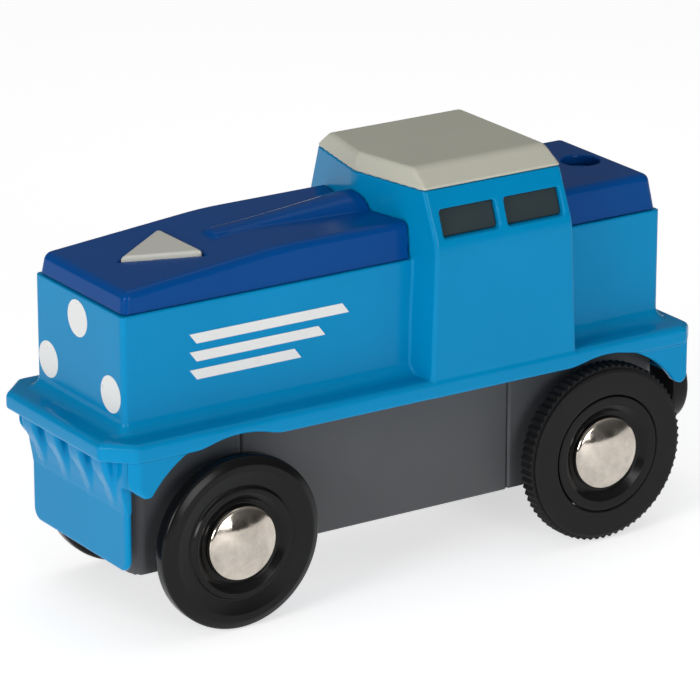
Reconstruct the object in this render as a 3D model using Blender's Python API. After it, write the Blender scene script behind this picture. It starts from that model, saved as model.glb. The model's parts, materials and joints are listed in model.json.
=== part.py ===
"""Battery-driven toy train locomotive, built as the moulded and metal pieces that it comes apart into.

Numbers are millimetres and each finished mesh is scaled to metres. +X is the front, +Z is up, and the
origin is on the ground under the middle of the locomotive.
"""

import math

import bmesh
import bpy

MM = 0.001
GAP = 0.3
SHARP_ANGLE = math.radians(35)

# Footplate, hood and cab of the body shell
FRONT_END = 46.94
REAR_END = -46.94
FOOTPLATE_REAR = -40.28
FOOTPLATE_HALF_WIDTH = 14.88
FOOTPLATE_BOTTOM = 24.4
FOOTPLATE_TOP = 26.86
FRONT_CHAMFER = 3.52
REAR_CHAMFER = 1.5
HOOD_FRONT = 42.83
HOOD_REAR = -37.31
HOOD_HALF_WIDTH = 10.6
HOOD_CORNER = 0.5
HOOD_PARTING = 41.7
HOOD_TOP = 46.5
LEVEL_FROM = 19.8
NOSE_DROP = 2.0
WALL = 1.5
CAB_REAR = (-21.38, -20.85, -20.25)
CAB_CORNER = (0.83, 0.60, 0.39)
CAB_CENTRE = (3.60, 3.25, 2.88)
CAB_HALF_WIDTH = (14.70, 14.70, 12.14)
CAB_LEVELS = (FOOTPLATE_BOTTOM + 0.2, 43.9, 50.77)
ROOF_TOP = 53.2
WINDOW_LOW = 44.9
WINDOW_HIGH = 48.35
WINDOW_SPANS = ((-9.6, -1.2), (-19.4, -10.9))

# Apron, beam ribs and side skirts below the footplate
APRON_FACE = 43.3
APRON_THICKNESS = 0.9
APRON_HALF_WIDTH = 11.5
APRON_BOTTOM = 9.2
RIB_CENTRES = (-8.55, -2.85, 2.85, 8.55)
RIB_WIDTH = 2.6
RIB_FACE = 45.4
WEB_FACE = 43.9
SKIRT_OUTER = 14.5
SKIRT_INNER = 13.2
REAR_BEAM = (-39.4, -38.2)
REAR_BEAM_BOTTOM = 19.6
FRONT_ARCH_RADIUS = 14.15
REAR_ARCH_RADIUS = 13.3
ARCH_INNER = 11.2

# Chassis and running gear
CHASSIS_FRONT = 41.0
CHASSIS_REAR = -37.9
CHASSIS_HALF_WIDTH = 9.54
CHASSIS_BOTTOM = 7.57
CHASSIS_TOP = 24.1
HATCH_FRONT = 25.66
HATCH_REAR = -14.5
HATCH_SCREW = -12.4
BODY_SCREW = (38.0, 6.6)
HATCH_FLOOR = 1.5
BATTERY_FLOOR = 13.0
GEAR_BAY = (-36.9, -16.2)
RAIL_INNER = 6.0
RAIL_OUTER = 7.7
FRONT_AXLE = (28.76, 11.25)
REAR_AXLE = (-26.29, 11.87)
AXLE_RADIUS = 1.0
AXLE_HALF_LENGTH = 14.0
WHEEL_INNER_FACE = 12.4
BOSS_FACE = 10.0
BOSS_RADIUS = 3.0
FRONT_FACE = 15.07
REAR_FACE = 15.25
HUB_RADIUS = 7.7
TYRE_KNURLS = 72
CAP_RADIUS = 4.88
CAP_CROWN = 16.05
WHEEL_STEPS = 32

# Gear train: three equal reductions from the motor pinion to the rear axle
MODULE = 0.4
PINION_TEETH = 8
WHEEL_TEETH = 26
BACKLASH = 0.12
CENTRE_DISTANCE = MODULE * (PINION_TEETH + WHEEL_TEETH) / 2 + BACKLASH
SECOND_IDLER_ANGLE = math.radians(66)
FIRST_IDLER_ANGLE = math.radians(140)
MOTOR_ANGLE = math.radians(52)
LAYER_AXLE = (2.0, 3.2)
LAYER_SECOND = (3.6, 4.8)
LAYER_FIRST = (5.2, 6.4)
MOTOR_RADIUS = 5.6
MOTOR_SPAN = (-6.2, 1.6)
CASE_HALF_WIDTH = 7.7
CASE_WALL = 1.0
IDLER_SHAFT_RADIUS = 0.5

# Battery (AAA size) and its contacts
BATTERY_RADIUS = 5.25
BATTERY_HEIGHT = 18.4
BATTERY_SPAN = (-9.3, 33.9)
NIPPLE_LENGTH = 1.0
NIPPLE_RADIUS = 1.8

# Start and stop buttons on their rocker
ROCKER_HEIGHT = 36.2
ROCKER_HALF_THICKNESS = 1.0
ROCKER_SPAN = (-34.0, 33.5)
ROCKER_HALF_WIDTH = 2.2
START_APEX = 36.7
START_BASE = 28.2
START_HALF_WIDTH = 5.4
START_STEM = 30.8
STOP_CENTRE = -32.2
STOP_RADIUS = 2.2
BUTTON_TRAVEL = 1.2
BUTTON_STEM_RADIUS = 1.8
BUTTON_SHOULDER = 42.6

# Rear magnetic coupling
COUPLING_HEIGHT = 14.2
COUPLING_RADIUS = 5.8
MAGNET_RADIUS = 4.0
COUPLING_STEM_RADIUS = 2.6
COUPLING_TAIL_RADIUS = 1.8

COLOURS = {
    "light_blue": ((0.0, 0.26, 0.50), 0.25, 0.0),
    "dark_blue": ((0.0, 0.055, 0.25), 0.25, 0.0),
    "cream": ((0.55, 0.53, 0.43), 0.35, 0.0),
    "grey": ((0.08, 0.085, 0.09), 0.45, 0.0),
    "window_grey": ((0.03, 0.045, 0.055), 0.4, 0.0),
    "black": ((0.01, 0.01, 0.01), 0.3, 0.0),
    "tyre": ((0.012, 0.012, 0.012), 0.7, 0.0),
    "white": ((0.75, 0.75, 0.72), 0.35, 0.0),
    "nickel": ((0.6, 0.58, 0.53), 0.2, 1.0),
    "steel": ((0.5, 0.5, 0.5), 0.3, 1.0),
    "brass": ((0.7, 0.5, 0.2), 0.35, 1.0),
    "ferrite": ((0.05, 0.05, 0.055), 0.5, 0.0),
    "gear_white": ((0.75, 0.75, 0.7), 0.4, 0.0),
    "battery_jacket": ((0.02, 0.1, 0.03), 0.3, 0.0),
}


def clear_scene():
    for obj in list(bpy.data.objects):
        bpy.data.objects.remove(obj, do_unlink=True)


def make_materials():
    materials = {}
    for name, (colour, roughness, metallic) in COLOURS.items():
        material = bpy.data.materials.new(name)
        material.use_nodes = True
        shader = material.node_tree.nodes["Principled BSDF"]
        shader.inputs["Base Color"].default_value = (*colour, 1.0)
        shader.inputs["Roughness"].default_value = roughness
        shader.inputs["Metallic"].default_value = metallic
        material.diffuse_color = (*colour, 1.0)
        materials[name] = material
    return materials


# ---------------------------------------------------------------- outlines

def arc(centre_u, centre_v, radius, start_deg, end_deg, steps):
    """Points on an arc, both ends included."""
    points = []
    for step in range(steps + 1):
        angle = math.radians(start_deg + (end_deg - start_deg) * step / steps)
        points.append((centre_u + radius * math.cos(angle), centre_v + radius * math.sin(angle)))
    return points


def rectangle(u_low, v_low, u_high, v_high, radius=0.0, steps=3):
    """Rectangle with rounded corners."""
    if radius == 0.0:
        return [(u_low, v_low), (u_high, v_low), (u_high, v_high), (u_low, v_high)]
    return (arc(u_high - radius, v_low + radius, radius, -90, 0, steps)
            + arc(u_high - radius, v_high - radius, radius, 0, 90, steps)
            + arc(u_low + radius, v_high - radius, radius, 90, 180, steps)
            + arc(u_low + radius, v_low + radius, radius, 180, 270, steps))


def circle(centre_u, centre_v, radius, steps=16):
    return arc(centre_u, centre_v, radius, 0, 360, steps)[:-1]


# ---------------------------------------------------------------- solids

def to_point(axis, u, v, along):
    """Place an outline point in space, for a solid whose length runs along the axis."""
    if axis == "X":
        return (along, u, v)
    if axis == "Y":
        return (u, along, v)
    return (u, v, along)


def link(name, bm, material=None):
    """Turn a bmesh in millimetres into a linked object in metres."""
    bmesh.ops.recalc_face_normals(bm, faces=bm.faces)
    bmesh.ops.scale(bm, vec=(MM, MM, MM), verts=bm.verts)
    mesh = bpy.data.meshes.new(name)
    bm.to_mesh(mesh)
    bm.free()
    obj = bpy.data.objects.new(name, mesh)
    bpy.context.collection.objects.link(obj)
    if material is not None:
        mesh.materials.append(material)
    return obj


def loft(name, rings, material=None):
    """Closed solid through rings that have the same number of points."""
    bm = bmesh.new()
    loops = [[bm.verts.new(point) for point in ring] for ring in rings]
    count = len(loops[0])
    for lower, upper in zip(loops, loops[1:]):
        for index in range(count):
            following = (index + 1) % count
            bm.faces.new((lower[index], lower[following], upper[following], upper[index]))
    bm.faces.new(loops[0])
    bm.faces.new(loops[-1])
    return link(name, bm, material)


def prism(name, outline, axis, low, high, material=None):
    rings = [[to_point(axis, u, v, along) for u, v in outline] for along in (low, high)]
    return loft(name, rings, material)


def block(name, low, high, material=None):
    return prism(name, rectangle(low[0], low[1], high[0], high[1]), "Z", low[2], high[2], material)


def turned(name, profile, axis, centre, steps, material=None):
    """Turn a profile of (along, radius) points about an axis through the centre.

    A profile that ends on the axis closes to a solid; any other profile is closed to a ring.
    """
    bm = bmesh.new()
    columns = []
    for along, radius in profile:
        if radius == 0.0:
            columns.append([bm.verts.new(to_point(axis, centre[0], centre[1], along))])
            continue
        outline = circle(centre[0], centre[1], radius, steps)
        columns.append([bm.verts.new(to_point(axis, u, v, along)) for u, v in outline])
    is_ring = profile[0][1] > 0.0
    pairs = list(zip(columns, columns[1:]))
    if is_ring:
        pairs.append((columns[-1], columns[0]))
    for first, second in pairs:
        for index in range(steps):
            following = (index + 1) % steps
            corners = [first[index % len(first)], first[following % len(first)],
                       second[following % len(second)], second[index % len(second)]]
            bm.faces.new(list(dict.fromkeys(corners)))
    return link(name, bm, material)


def combine(target, tool, operation):
    """Apply one Boolean at once and drop the tool."""
    modifier = target.modifiers.new(operation, "BOOLEAN")
    modifier.operation = operation
    modifier.solver = "EXACT"
    modifier.object = tool
    bpy.context.view_layer.update()
    depsgraph = bpy.context.evaluated_depsgraph_get()
    mesh = bpy.data.meshes.new_from_object(target.evaluated_get(depsgraph))
    target.modifiers.clear()
    target.data = mesh
    bpy.data.objects.remove(tool, do_unlink=True)


def join(target, *tools):
    for tool in tools:
        combine(target, tool, "UNION")


def cut(target, *tools):
    for tool in tools:
        combine(target, tool, "DIFFERENCE")


def finish(obj, name, origin=(0.0, 0.0, 0.0)):
    """Name the piece, put its origin in place and shade it smooth between its sharp edges."""
    obj.name = name
    obj.data.name = name
    offset = [value * MM for value in origin]
    for vertex in obj.data.vertices:
        vertex.co = [here - shift for here, shift in zip(vertex.co, offset)]
    obj.location = offset
    obj.data.shade_smooth()
    obj.data.set_sharp_from_angle(angle=SHARP_ANGLE)
    return obj


def screw_hole(centre, low, high):
    return prism("screw_hole", circle(*centre, AXLE_RADIUS + GAP, 12), "Z", low, high)


# ---------------------------------------------------------------- body shell

def footplate_outline():
    side = FOOTPLATE_HALF_WIDTH
    return [(FRONT_END, -side + FRONT_CHAMFER), (FRONT_END, side - FRONT_CHAMFER),
            (FRONT_END - FRONT_CHAMFER, side), (FOOTPLATE_REAR + REAR_CHAMFER, side),
            (FOOTPLATE_REAR, side - REAR_CHAMFER), (FOOTPLATE_REAR, -side + REAR_CHAMFER),
            (FOOTPLATE_REAR + REAR_CHAMFER, -side), (FRONT_END - FRONT_CHAMFER, -side)]


def cab_ring(level, inset=0.0):
    """Plan of the cab at one of its levels, with the shallow V of its front wall."""
    rear = CAB_REAR[level] + inset
    corner = CAB_CORNER[level] - inset
    centre = CAB_CENTRE[level] - inset
    side = CAB_HALF_WIDTH[level] - inset
    return [(rear, -side), (corner, -side), (centre, 0.0), (corner, side), (rear, side)]


def cab_solid(name, heights, inset=0.0):
    rings = []
    for level, height in enumerate(heights):
        rings.append([(x, y, height) for x, y in cab_ring(level, inset)])
    return loft(name, rings)


def skirt_outline_front():
    """Side view of the front skirt, which clears the front wheel with an arc."""
    wheel_x, wheel_z = FRONT_AXLE
    return ([(43.7, FOOTPLATE_BOTTOM + 0.6), (43.7, 20.6), (42.2, 19.6), (41.2, 19.6)]
            + arc(wheel_x, wheel_z, 15.0, 37, 57, 4) + [(36.0, FOOTPLATE_BOTTOM + 0.6)])


def skirt_outline_rear():
    """Side view of the rear skirt, whose lower end is rounded off."""
    wheel_x, wheel_z = REAR_AXLE
    rear = REAR_BEAM[0]
    return ([(rear, FOOTPLATE_BOTTOM + 0.6), (-31.0, FOOTPLATE_BOTTOM + 0.6)]
            + arc(wheel_x, wheel_z, REAR_ARCH_RADIUS + 0.1, 115, 145, 5) + [(rear + 1.0, 19.0), (rear, 20.0)])


def rib_outline(face):
    """Side view of the beam under the footplate; ribs stand out further than the web between them."""
    back = APRON_FACE - APRON_THICKNESS
    return [(back, FOOTPLATE_BOTTOM + 0.6), (face, FOOTPLATE_BOTTOM + 0.6), (face, 22.4),
            (APRON_FACE + (face - APRON_FACE) * 0.47, 19.8), (APRON_FACE, 17.4), (back, 17.4)]


def add_front_end(shell):
    back = APRON_FACE - APRON_THICKNESS
    apron = prism("apron", rectangle(back, -APRON_HALF_WIDTH, APRON_FACE, APRON_HALF_WIDTH, 0.4, 2),
                  "Z", APRON_BOTTOM, FOOTPLATE_BOTTOM + 0.5)
    join(shell, apron, prism("beam", rib_outline(WEB_FACE), "Y", -13.4, 13.4))
    for middle in RIB_CENTRES:
        join(shell, prism("rib", rib_outline(RIB_FACE), "Y", middle - RIB_WIDTH / 2, middle + RIB_WIDTH / 2))


def add_skirts(shell):
    for side in (-1, 1):
        low, high = sorted((side * SKIRT_INNER, side * SKIRT_OUTER))
        join(shell, prism("front_skirt", skirt_outline_front(), "Y", low, high),
             prism("rear_skirt", skirt_outline_rear(), "Y", low, high))
    half_width = SKIRT_INNER + GAP
    join(shell, block("rear_beam", (REAR_BEAM[0], -half_width, REAR_BEAM_BOTTOM),
                      (REAR_BEAM[1], half_width, FOOTPLATE_BOTTOM + 0.5)))


def hollow_shell(shell):
    inside = HOOD_HALF_WIDTH - WALL
    front_well = block("front_well", (5.0, -inside, 20.0), (HOOD_FRONT - WALL, inside, 60.0))
    rear_well = block("rear_well", (HOOD_REAR + WALL, -inside, 20.0), (-22.8, inside, 60.0))
    tunnel = block("tunnel", (-24.0, -inside, 20.0), (6.0, inside, 39.0))
    heights = (FOOTPLATE_TOP + 0.8, CAB_LEVELS[1], CAB_LEVELS[2] + 0.001)
    cut(shell, front_well, rear_well, tunnel, cab_solid("cab_inside", heights, 1.4))
    for low, high in WINDOW_SPANS:
        cut(shell, block("window", (low, -20.0, WINDOW_LOW), (high, 20.0, WINDOW_HIGH)))


def add_screw_posts(shell):
    for side in (-1, 1):
        low, high = sorted((side * 4.6, side * 9.4))
        post = block("post", (36.2, low, FOOTPLATE_BOTTOM), (41.6, high, 31.0))
        cut(post, screw_hole((BODY_SCREW[0], side * BODY_SCREW[1]), 20.0, 29.5))
        join(shell, post)


def build_body_shell(materials):
    hood_outline = rectangle(HOOD_REAR, -HOOD_HALF_WIDTH, HOOD_FRONT, HOOD_HALF_WIDTH, HOOD_CORNER)
    shell = prism("shell", footplate_outline(), "Z", FOOTPLATE_BOTTOM, FOOTPLATE_TOP, materials["light_blue"])
    join(shell, prism("hood", hood_outline, "Z", FOOTPLATE_BOTTOM + 0.1, HOOD_PARTING),
         cab_solid("cab", CAB_LEVELS))
    for axle, radius in ((FRONT_AXLE, FRONT_ARCH_RADIUS), (REAR_AXLE, REAR_ARCH_RADIUS)):
        for side in (-1, 1):
            low, high = sorted((side * ARCH_INNER, side * 20.0))
            cut(shell, prism("arch", circle(*axle, radius, 48), "Y", low, high))
    add_front_end(shell)
    add_skirts(shell)
    hollow_shell(shell)
    add_screw_posts(shell)
    return finish(shell, "body_shell")


# ---------------------------------------------------------------- covers, roof and windows

def cover_ring(x, top, drop=0.0, inset=0.0):
    """Cross-section of a hood cover at one station: drafted sides with rounded shoulders."""
    foot = HOOD_HALF_WIDTH - 0.35 - inset
    shoulder = foot - 0.45
    base = HOOD_PARTING + GAP - drop
    side = [(foot, base), (shoulder, top - 0.6), (shoulder - 0.18, top - 0.18), (shoulder - 0.6, top)]
    points = side + [(-y, z) for y, z in reversed(side)]
    return [(x, y, z) for y, z in points]


def front_top(x):
    """Height of the front hood top, which rises from the nose and levels out towards the cab."""
    if x <= LEVEL_FROM:
        return HOOD_TOP
    return HOOD_TOP - NOSE_DROP * (x - LEVEL_FROM) / (HOOD_FRONT - 1.0 - LEVEL_FROM)


def cab_clearance(name):
    """The cab with the fitting gap around it, used to cut the cover ends that meet it."""
    heights = (CAB_LEVELS[0], CAB_LEVELS[1], CAB_LEVELS[2] + 4.0)
    return cab_solid(name, heights, -GAP)


def start_outline(clearance=0.0):
    """Triangle of the start button, pointing to the front."""
    return [(START_APEX + clearance * 2.2, 0.0), (START_BASE - clearance, START_HALF_WIDTH + clearance * 1.8),
            (START_BASE - clearance, -START_HALF_WIDTH - clearance * 1.8)]


def spine_solid(name):
    """Raised spine on the front hood, growing in width and height towards the cab."""
    rings = []
    for x, half_width, height in ((24.6, 0.7, -0.1), (24.0, 1.2, 0.45), (12.0, 2.0, 1.1), (4.5, 2.9, 1.9),
                                  (-2.0, 3.2, 1.9)):
        top = front_top(x) + height
        base = front_top(x) - 0.4
        section = [(half_width, base), (half_width * 0.4, top - 0.2 * (height > 0)), (0.0, top)]
        ring = section + [(-y, z) for y, z in reversed(section[:-1])]
        rings.append([(x, y, z) for y, z in ring])
    return loft(name, rings)


def build_front_cover(materials):
    """Front hood cover with its spine and the triangular hole for the start button."""
    stations = (HOOD_FRONT - 0.4, HOOD_FRONT - 0.9, LEVEL_FROM, -2.0)
    tops = (HOOD_TOP - 2.9, front_top(HOOD_FRONT - 1.0), HOOD_TOP, HOOD_TOP)
    outer = [cover_ring(x, top) for x, top in zip(stations, tops)]
    cover = loft("front_cover", outer, materials["dark_blue"])
    join(cover, spine_solid("spine"))
    hollow = [cover_ring(x, front_top(x) - WALL, 1.0, WALL) for x in (HOOD_FRONT - 2.0, LEVEL_FROM, 4.5)]
    cut(cover, loft("hollow", hollow), cab_clearance("cab_cut"),
        prism("button_hole", start_outline(GAP), "Z", 40.0, 60.0))
    return finish(cover, "front_hood_cover")


def build_rear_cover(materials):
    """Rear hood cover with the round hole for the stop button."""
    stations = (-18.0, HOOD_REAR + 1.4, HOOD_REAR + 0.75, HOOD_REAR + 0.45)
    tops = (HOOD_TOP, HOOD_TOP, HOOD_TOP - 0.35, HOOD_TOP - 1.2)
    cover = loft("rear_cover", [cover_ring(x, top) for x, top in zip(stations, tops)], materials["dark_blue"])
    hollow = [cover_ring(x, HOOD_TOP - WALL, 1.0, WALL) for x in (-22.6, HOOD_REAR + 2.0)]
    cut(cover, loft("hollow", hollow), cab_clearance("cab_cut"),
        prism("button_hole", circle(STOP_CENTRE, 0.0, STOP_RADIUS + GAP, 20), "Z", 40.0, 60.0))
    return finish(cover, "rear_hood_cover")


def build_roof(materials):
    """Roof cap with bevelled sides, and the hollow tab that plugs it into the cab."""
    def plan(rear, corner, centre, side, height):
        return [(rear, -side, height), (corner, -side, height), (centre, 0.0, height),
                (corner, side, height), (rear, side, height)]

    edge = CAB_LEVELS[2] + GAP
    roof = loft("roof", [plan(-20.25, 0.39, 2.88, 12.14, edge),
                         plan(-20.10, 0.45, 2.75, 11.90, edge + 0.35),
                         plan(-19.75, 0.54, 2.20, 9.75, ROOF_TOP - 0.25),
                         plan(-19.40, 0.40, 1.95, 9.30, ROOF_TOP)], materials["cream"])
    tab_plan, hollow_plan = (-18.4, -1.4, 0.9, 10.2), (-17.2, -2.6, -0.4, 9.0)
    tab = loft("tab", [plan(*tab_plan, edge - 1.6), plan(*tab_plan, edge + 0.3)])
    tab_hollow = loft("tab_hollow", [plan(*hollow_plan, edge - 2.0), plan(*hollow_plan, edge + 0.8)])
    join(roof, tab)
    cut(roof, tab_hollow)
    return finish(roof, "cab_roof")


def side_plane(height):
    """Half-width of the cab's outside at a height above its waist."""
    share = (height - CAB_LEVELS[1]) / (CAB_LEVELS[2] - CAB_LEVELS[1])
    return CAB_HALF_WIDTH[1] + (CAB_HALF_WIDTH[2] - CAB_HALF_WIDTH[1]) * share


def build_window(side, materials):
    """Window insert of one side: a backing strip inside the wall with two panes in the openings."""
    def leaning(name, x_low, x_high, z_low, z_high, depth_out, depth_in, material=None):
        rings = []
        for x in (x_low, x_high):
            rings.append([(x, side * (side_plane(z_low) - depth_out), z_low),
                          (x, side * (side_plane(z_low) - depth_in), z_low),
                          (x, side * (side_plane(z_high) - depth_in), z_high),
                          (x, side * (side_plane(z_high) - depth_out), z_high)])
        return loft(name, rings, material)

    strip = leaning("strip", -19.0, -1.9, WINDOW_LOW + 0.4, WINDOW_HIGH - 0.4, 1.95, 2.75,
                    materials["window_grey"])
    for low, high in WINDOW_SPANS:
        join(strip, leaning("pane", low + GAP, high - GAP, WINDOW_LOW + GAP, WINDOW_HIGH - GAP, 0.7, 2.3))
    return finish(strip, "window_insert_left" if side > 0 else "window_insert_right")


# ---------------------------------------------------------------- chassis

def axle_hole(axle, half_width=20.0):
    return prism("axle_hole", circle(*axle, AXLE_RADIUS + GAP, 16), "Y", -half_width, half_width)


def build_chassis(materials):
    """Frame that carries the axles: gear bay behind, rails beside the cell and posts for the rocker."""
    outline = (arc(CHASSIS_FRONT - 1.8, CHASSIS_HALF_WIDTH - 1.8, 1.8, 0, 90, 4)
               + [(CHASSIS_REAR, CHASSIS_HALF_WIDTH), (CHASSIS_REAR, -CHASSIS_HALF_WIDTH)]
               + arc(CHASSIS_FRONT - 1.8, -CHASSIS_HALF_WIDTH + 1.8, 1.8, -90, 0, 4))
    frame = prism("frame", outline, "Z", CHASSIS_BOTTOM, CHASSIS_TOP, materials["grey"])
    bulge = prism("bulge", circle(*REAR_AXLE, 6.6, 28), "Y", 0.4, 4.8)
    join(frame, bulge)
    bay = CASE_HALF_WIDTH + GAP
    gear_bay = block("gear_bay", (GEAR_BAY[0], -bay, 8.8), (GEAR_BAY[1], bay, 30.0))
    gear_pocket = prism("gear_pocket", circle(*REAR_AXLE, 5.9, 28), "Y", 1.4, 3.8)
    battery_bay = block("battery_bay", (-15.0, -RAIL_INNER, BATTERY_FLOOR), (34.9, RAIL_INNER, 30.0))
    spring_bay = block("spring_bay", (30.0, -3.8, BATTERY_FLOOR), (39.4, 3.8, 30.0))
    cut(frame, gear_bay, gear_pocket, battery_bay, spring_bay)
    hatch_space = block("hatch_space", (HATCH_REAR, -20.0, 0.0), (HATCH_FRONT, 20.0, BATTERY_FLOOR))
    side_left = block("side_left", (HATCH_REAR, RAIL_OUTER, 0.0), (HATCH_FRONT, 20.0, 30.0))
    side_right = block("side_right", (HATCH_REAR, -20.0, 0.0), (HATCH_FRONT, -RAIL_OUTER, 30.0))
    cut(frame, hatch_space, side_left, side_right)
    bridge = block("bridge", (8.0, -RAIL_OUTER, 23.95), (13.0, RAIL_OUTER, 25.6))
    boss = block("boss", (-15.4, -3.0, 9.5), (-10.2, 3.0, 12.8))
    divider = block("divider", (-12.9, -6.5, 12.0), (-11.4, 6.5, 22.0))
    join(frame, bridge, divider, boss)
    for side in (-1, 1):
        low, high = sorted((side * RAIL_INNER, side * RAIL_OUTER))
        post_outline = ([(-2.6, 22.0), (2.6, 22.0)]
                        + arc(0.0, ROCKER_HEIGHT, 2.4, 0, 180, 8))
        join(frame, prism("post", post_outline, "Y", low, high))
        centre = (BODY_SCREW[0], side * BODY_SCREW[1])
        cut(frame, screw_hole(centre, 0.0, 40.0),
            prism("counterbore", circle(*centre, 2.2, 14), "Z", 0.0, 15.0))
    cut(frame, axle_hole(FRONT_AXLE), axle_hole(REAR_AXLE),
        prism("pin_hole", circle(0.0, ROCKER_HEIGHT, AXLE_RADIUS + GAP, 12), "Y", -20.0, 20.0),
        screw_hole((HATCH_SCREW, 0.0), 0.0, 12.4),
        prism("coupling_hole", circle(0.0, COUPLING_HEIGHT, COUPLING_TAIL_RADIUS + GAP, 14), "X",
              REAR_END, GEAR_BAY[0] + 0.5))
    return finish(frame, "chassis_frame")


def build_hatch(materials):
    """Battery hatch: the U-shaped middle of the chassis that drops away when its screw is undone."""
    outer = CHASSIS_HALF_WIDTH
    hatch = block("hatch", (HATCH_REAR + GAP, -outer, CHASSIS_BOTTOM),
                  (HATCH_FRONT - GAP, outer, CHASSIS_TOP - 0.1), materials["grey"])
    inner = RAIL_OUTER + GAP
    cut(hatch, block("inside", (-40.0, -inner, CHASSIS_BOTTOM + HATCH_FLOOR), (40.0, inner, 30.0)),
        screw_hole((HATCH_SCREW, 0.0), 0.0, 12.0),
        prism("counterbore", circle(HATCH_SCREW, 0.0, 2.3, 14), "Z", 0.0, CHASSIS_BOTTOM + 0.9))
    return finish(hatch, "battery_hatch")


def build_screw(name, centre, seat, length, head_radius, materials):
    """Self-tapping screw with its head down, standing on its seat."""
    profile = [(seat - 0.8, 0.0), (seat - 0.8, head_radius * 0.8), (seat - GAP, head_radius),
               (seat, AXLE_RADIUS), (seat + length - 1.0, AXLE_RADIUS), (seat + length, 0.0)]
    screw = turned("screw", profile, "Z", centre, 12, materials["steel"])
    for reach_x, reach_y in ((1.2, 0.3), (0.3, 1.2)):
        cut(screw, block("slot", (centre[0] - reach_x, centre[1] - reach_y, seat - 2.0),
                         (centre[0] + reach_x, centre[1] + reach_y, seat - 0.55)))
    return finish(screw, name)


# ---------------------------------------------------------------- wheels and axles

def build_axle(name, axle, materials):
    profile = [(-AXLE_HALF_LENGTH, 0.0), (-AXLE_HALF_LENGTH, 0.8), (0.2 - AXLE_HALF_LENGTH, AXLE_RADIUS),
               (AXLE_HALF_LENGTH - 0.2, AXLE_RADIUS), (AXLE_HALF_LENGTH, 0.8), (AXLE_HALF_LENGTH, 0.0)]
    axle_rod = turned("axle", profile, "Y", axle, 16, materials["steel"])
    return finish(axle_rod, name, (axle[0], 0.0, axle[1]))


def mirrored(profile, side):
    return [(side * along, radius) for along, radius in profile]


def hub_profile(face, rim_points):
    """Ring profile from the bore outwards over the rim and back down the dished outer face."""
    inner = WHEEL_INNER_FACE
    bore = AXLE_RADIUS + GAP
    return ([(BOSS_FACE, bore), (BOSS_FACE, BOSS_RADIUS), (inner, BOSS_RADIUS)] + rim_points
            + [(face - 0.25, 6.5), (face - 0.85, 5.6), (face - 0.85, bore)])


def build_front_wheel(side, axle, materials):
    radius = axle[1]
    rim = [(WHEEL_INNER_FACE, radius - 0.6), (WHEEL_INNER_FACE + 0.6, radius), (FRONT_FACE - 1.0, radius),
           (FRONT_FACE - 0.35, radius - 0.3), (FRONT_FACE, radius - 1.3), (FRONT_FACE - 0.5, 7.2),
           (FRONT_FACE - 0.15, 7.0)]
    wheel = turned("wheel", mirrored(hub_profile(FRONT_FACE, rim), side), "Y", axle, WHEEL_STEPS,
                   materials["black"])
    return finish(wheel, "front_wheel_" + side_name(side), (axle[0], 0.0, axle[1]))


def build_rear_hub(side, axle, materials):
    rim = [(WHEEL_INNER_FACE, HUB_RADIUS), (REAR_FACE - 0.2, HUB_RADIUS), (REAR_FACE, HUB_RADIUS - 0.2)]
    hub = turned("hub", mirrored(hub_profile(REAR_FACE, rim), side), "Y", axle, WHEEL_STEPS,
                 materials["black"])
    return finish(hub, "rear_wheel_hub_" + side_name(side), (axle[0], 0.0, axle[1]))


def build_tyre(side, axle, materials):
    """Knurled traction tyre."""
    radius = axle[1]
    stations = ((WHEEL_INNER_FACE, -0.4), (WHEEL_INNER_FACE + 0.3, 0.0), (REAR_FACE - 0.5, 0.0),
                (REAR_FACE, -0.7))
    rings = []
    for along, drop in stations:
        ring = []
        for index in range(2 * TYRE_KNURLS):
            angle = math.pi * index / TYRE_KNURLS - math.pi / 2
            reach = radius + drop - (0.4 + drop * 0.5) * (index % 2)
            ring.append((axle[0] + reach * math.cos(angle), side * along, axle[1] + reach * math.sin(angle)))
        rings.append(ring)
    tyre = loft("tyre", rings, materials["tyre"])
    cut(tyre, prism("bore", circle(*axle, HUB_RADIUS + GAP, WHEEL_STEPS), "Y", -20.0, 20.0))
    return finish(tyre, "rear_tyre_" + side_name(side), (axle[0], 0.0, axle[1]))


def build_cap(name, side, axle, face, materials):
    """Domed metal hub cap, which hides the axle's end."""
    back = face - 0.55
    dome = CAP_CROWN - back
    profile = [(back, 0.0), (back, CAP_RADIUS), (back + 0.3 * dome, CAP_RADIUS)]
    for share in (0.3, 0.6, 0.85):
        height = back + dome * (1.0 - 0.7 * (1.0 - share) ** 2)
        profile.append((height, CAP_RADIUS * math.cos(share * math.pi / 2)))
    profile.append((CAP_CROWN, 0.0))
    cap = turned("cap", mirrored(profile, side), "Y", axle, 20, materials["nickel"])
    return finish(cap, name + side_name(side), (axle[0], 0.0, axle[1]))


def side_name(side):
    return "left" if side > 0 else "right"


def build_wheelsets(materials):
    build_axle("front_axle", FRONT_AXLE, materials)
    build_axle("rear_axle", REAR_AXLE, materials)
    for side in (-1, 1):
        build_front_wheel(side, FRONT_AXLE, materials)
        build_rear_hub(side, REAR_AXLE, materials)
        build_tyre(side, REAR_AXLE, materials)
        build_cap("front_hub_cap_", side, FRONT_AXLE, FRONT_FACE, materials)
        build_cap("rear_hub_cap_", side, REAR_AXLE, REAR_FACE, materials)


# ---------------------------------------------------------------- gear train and motor

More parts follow.
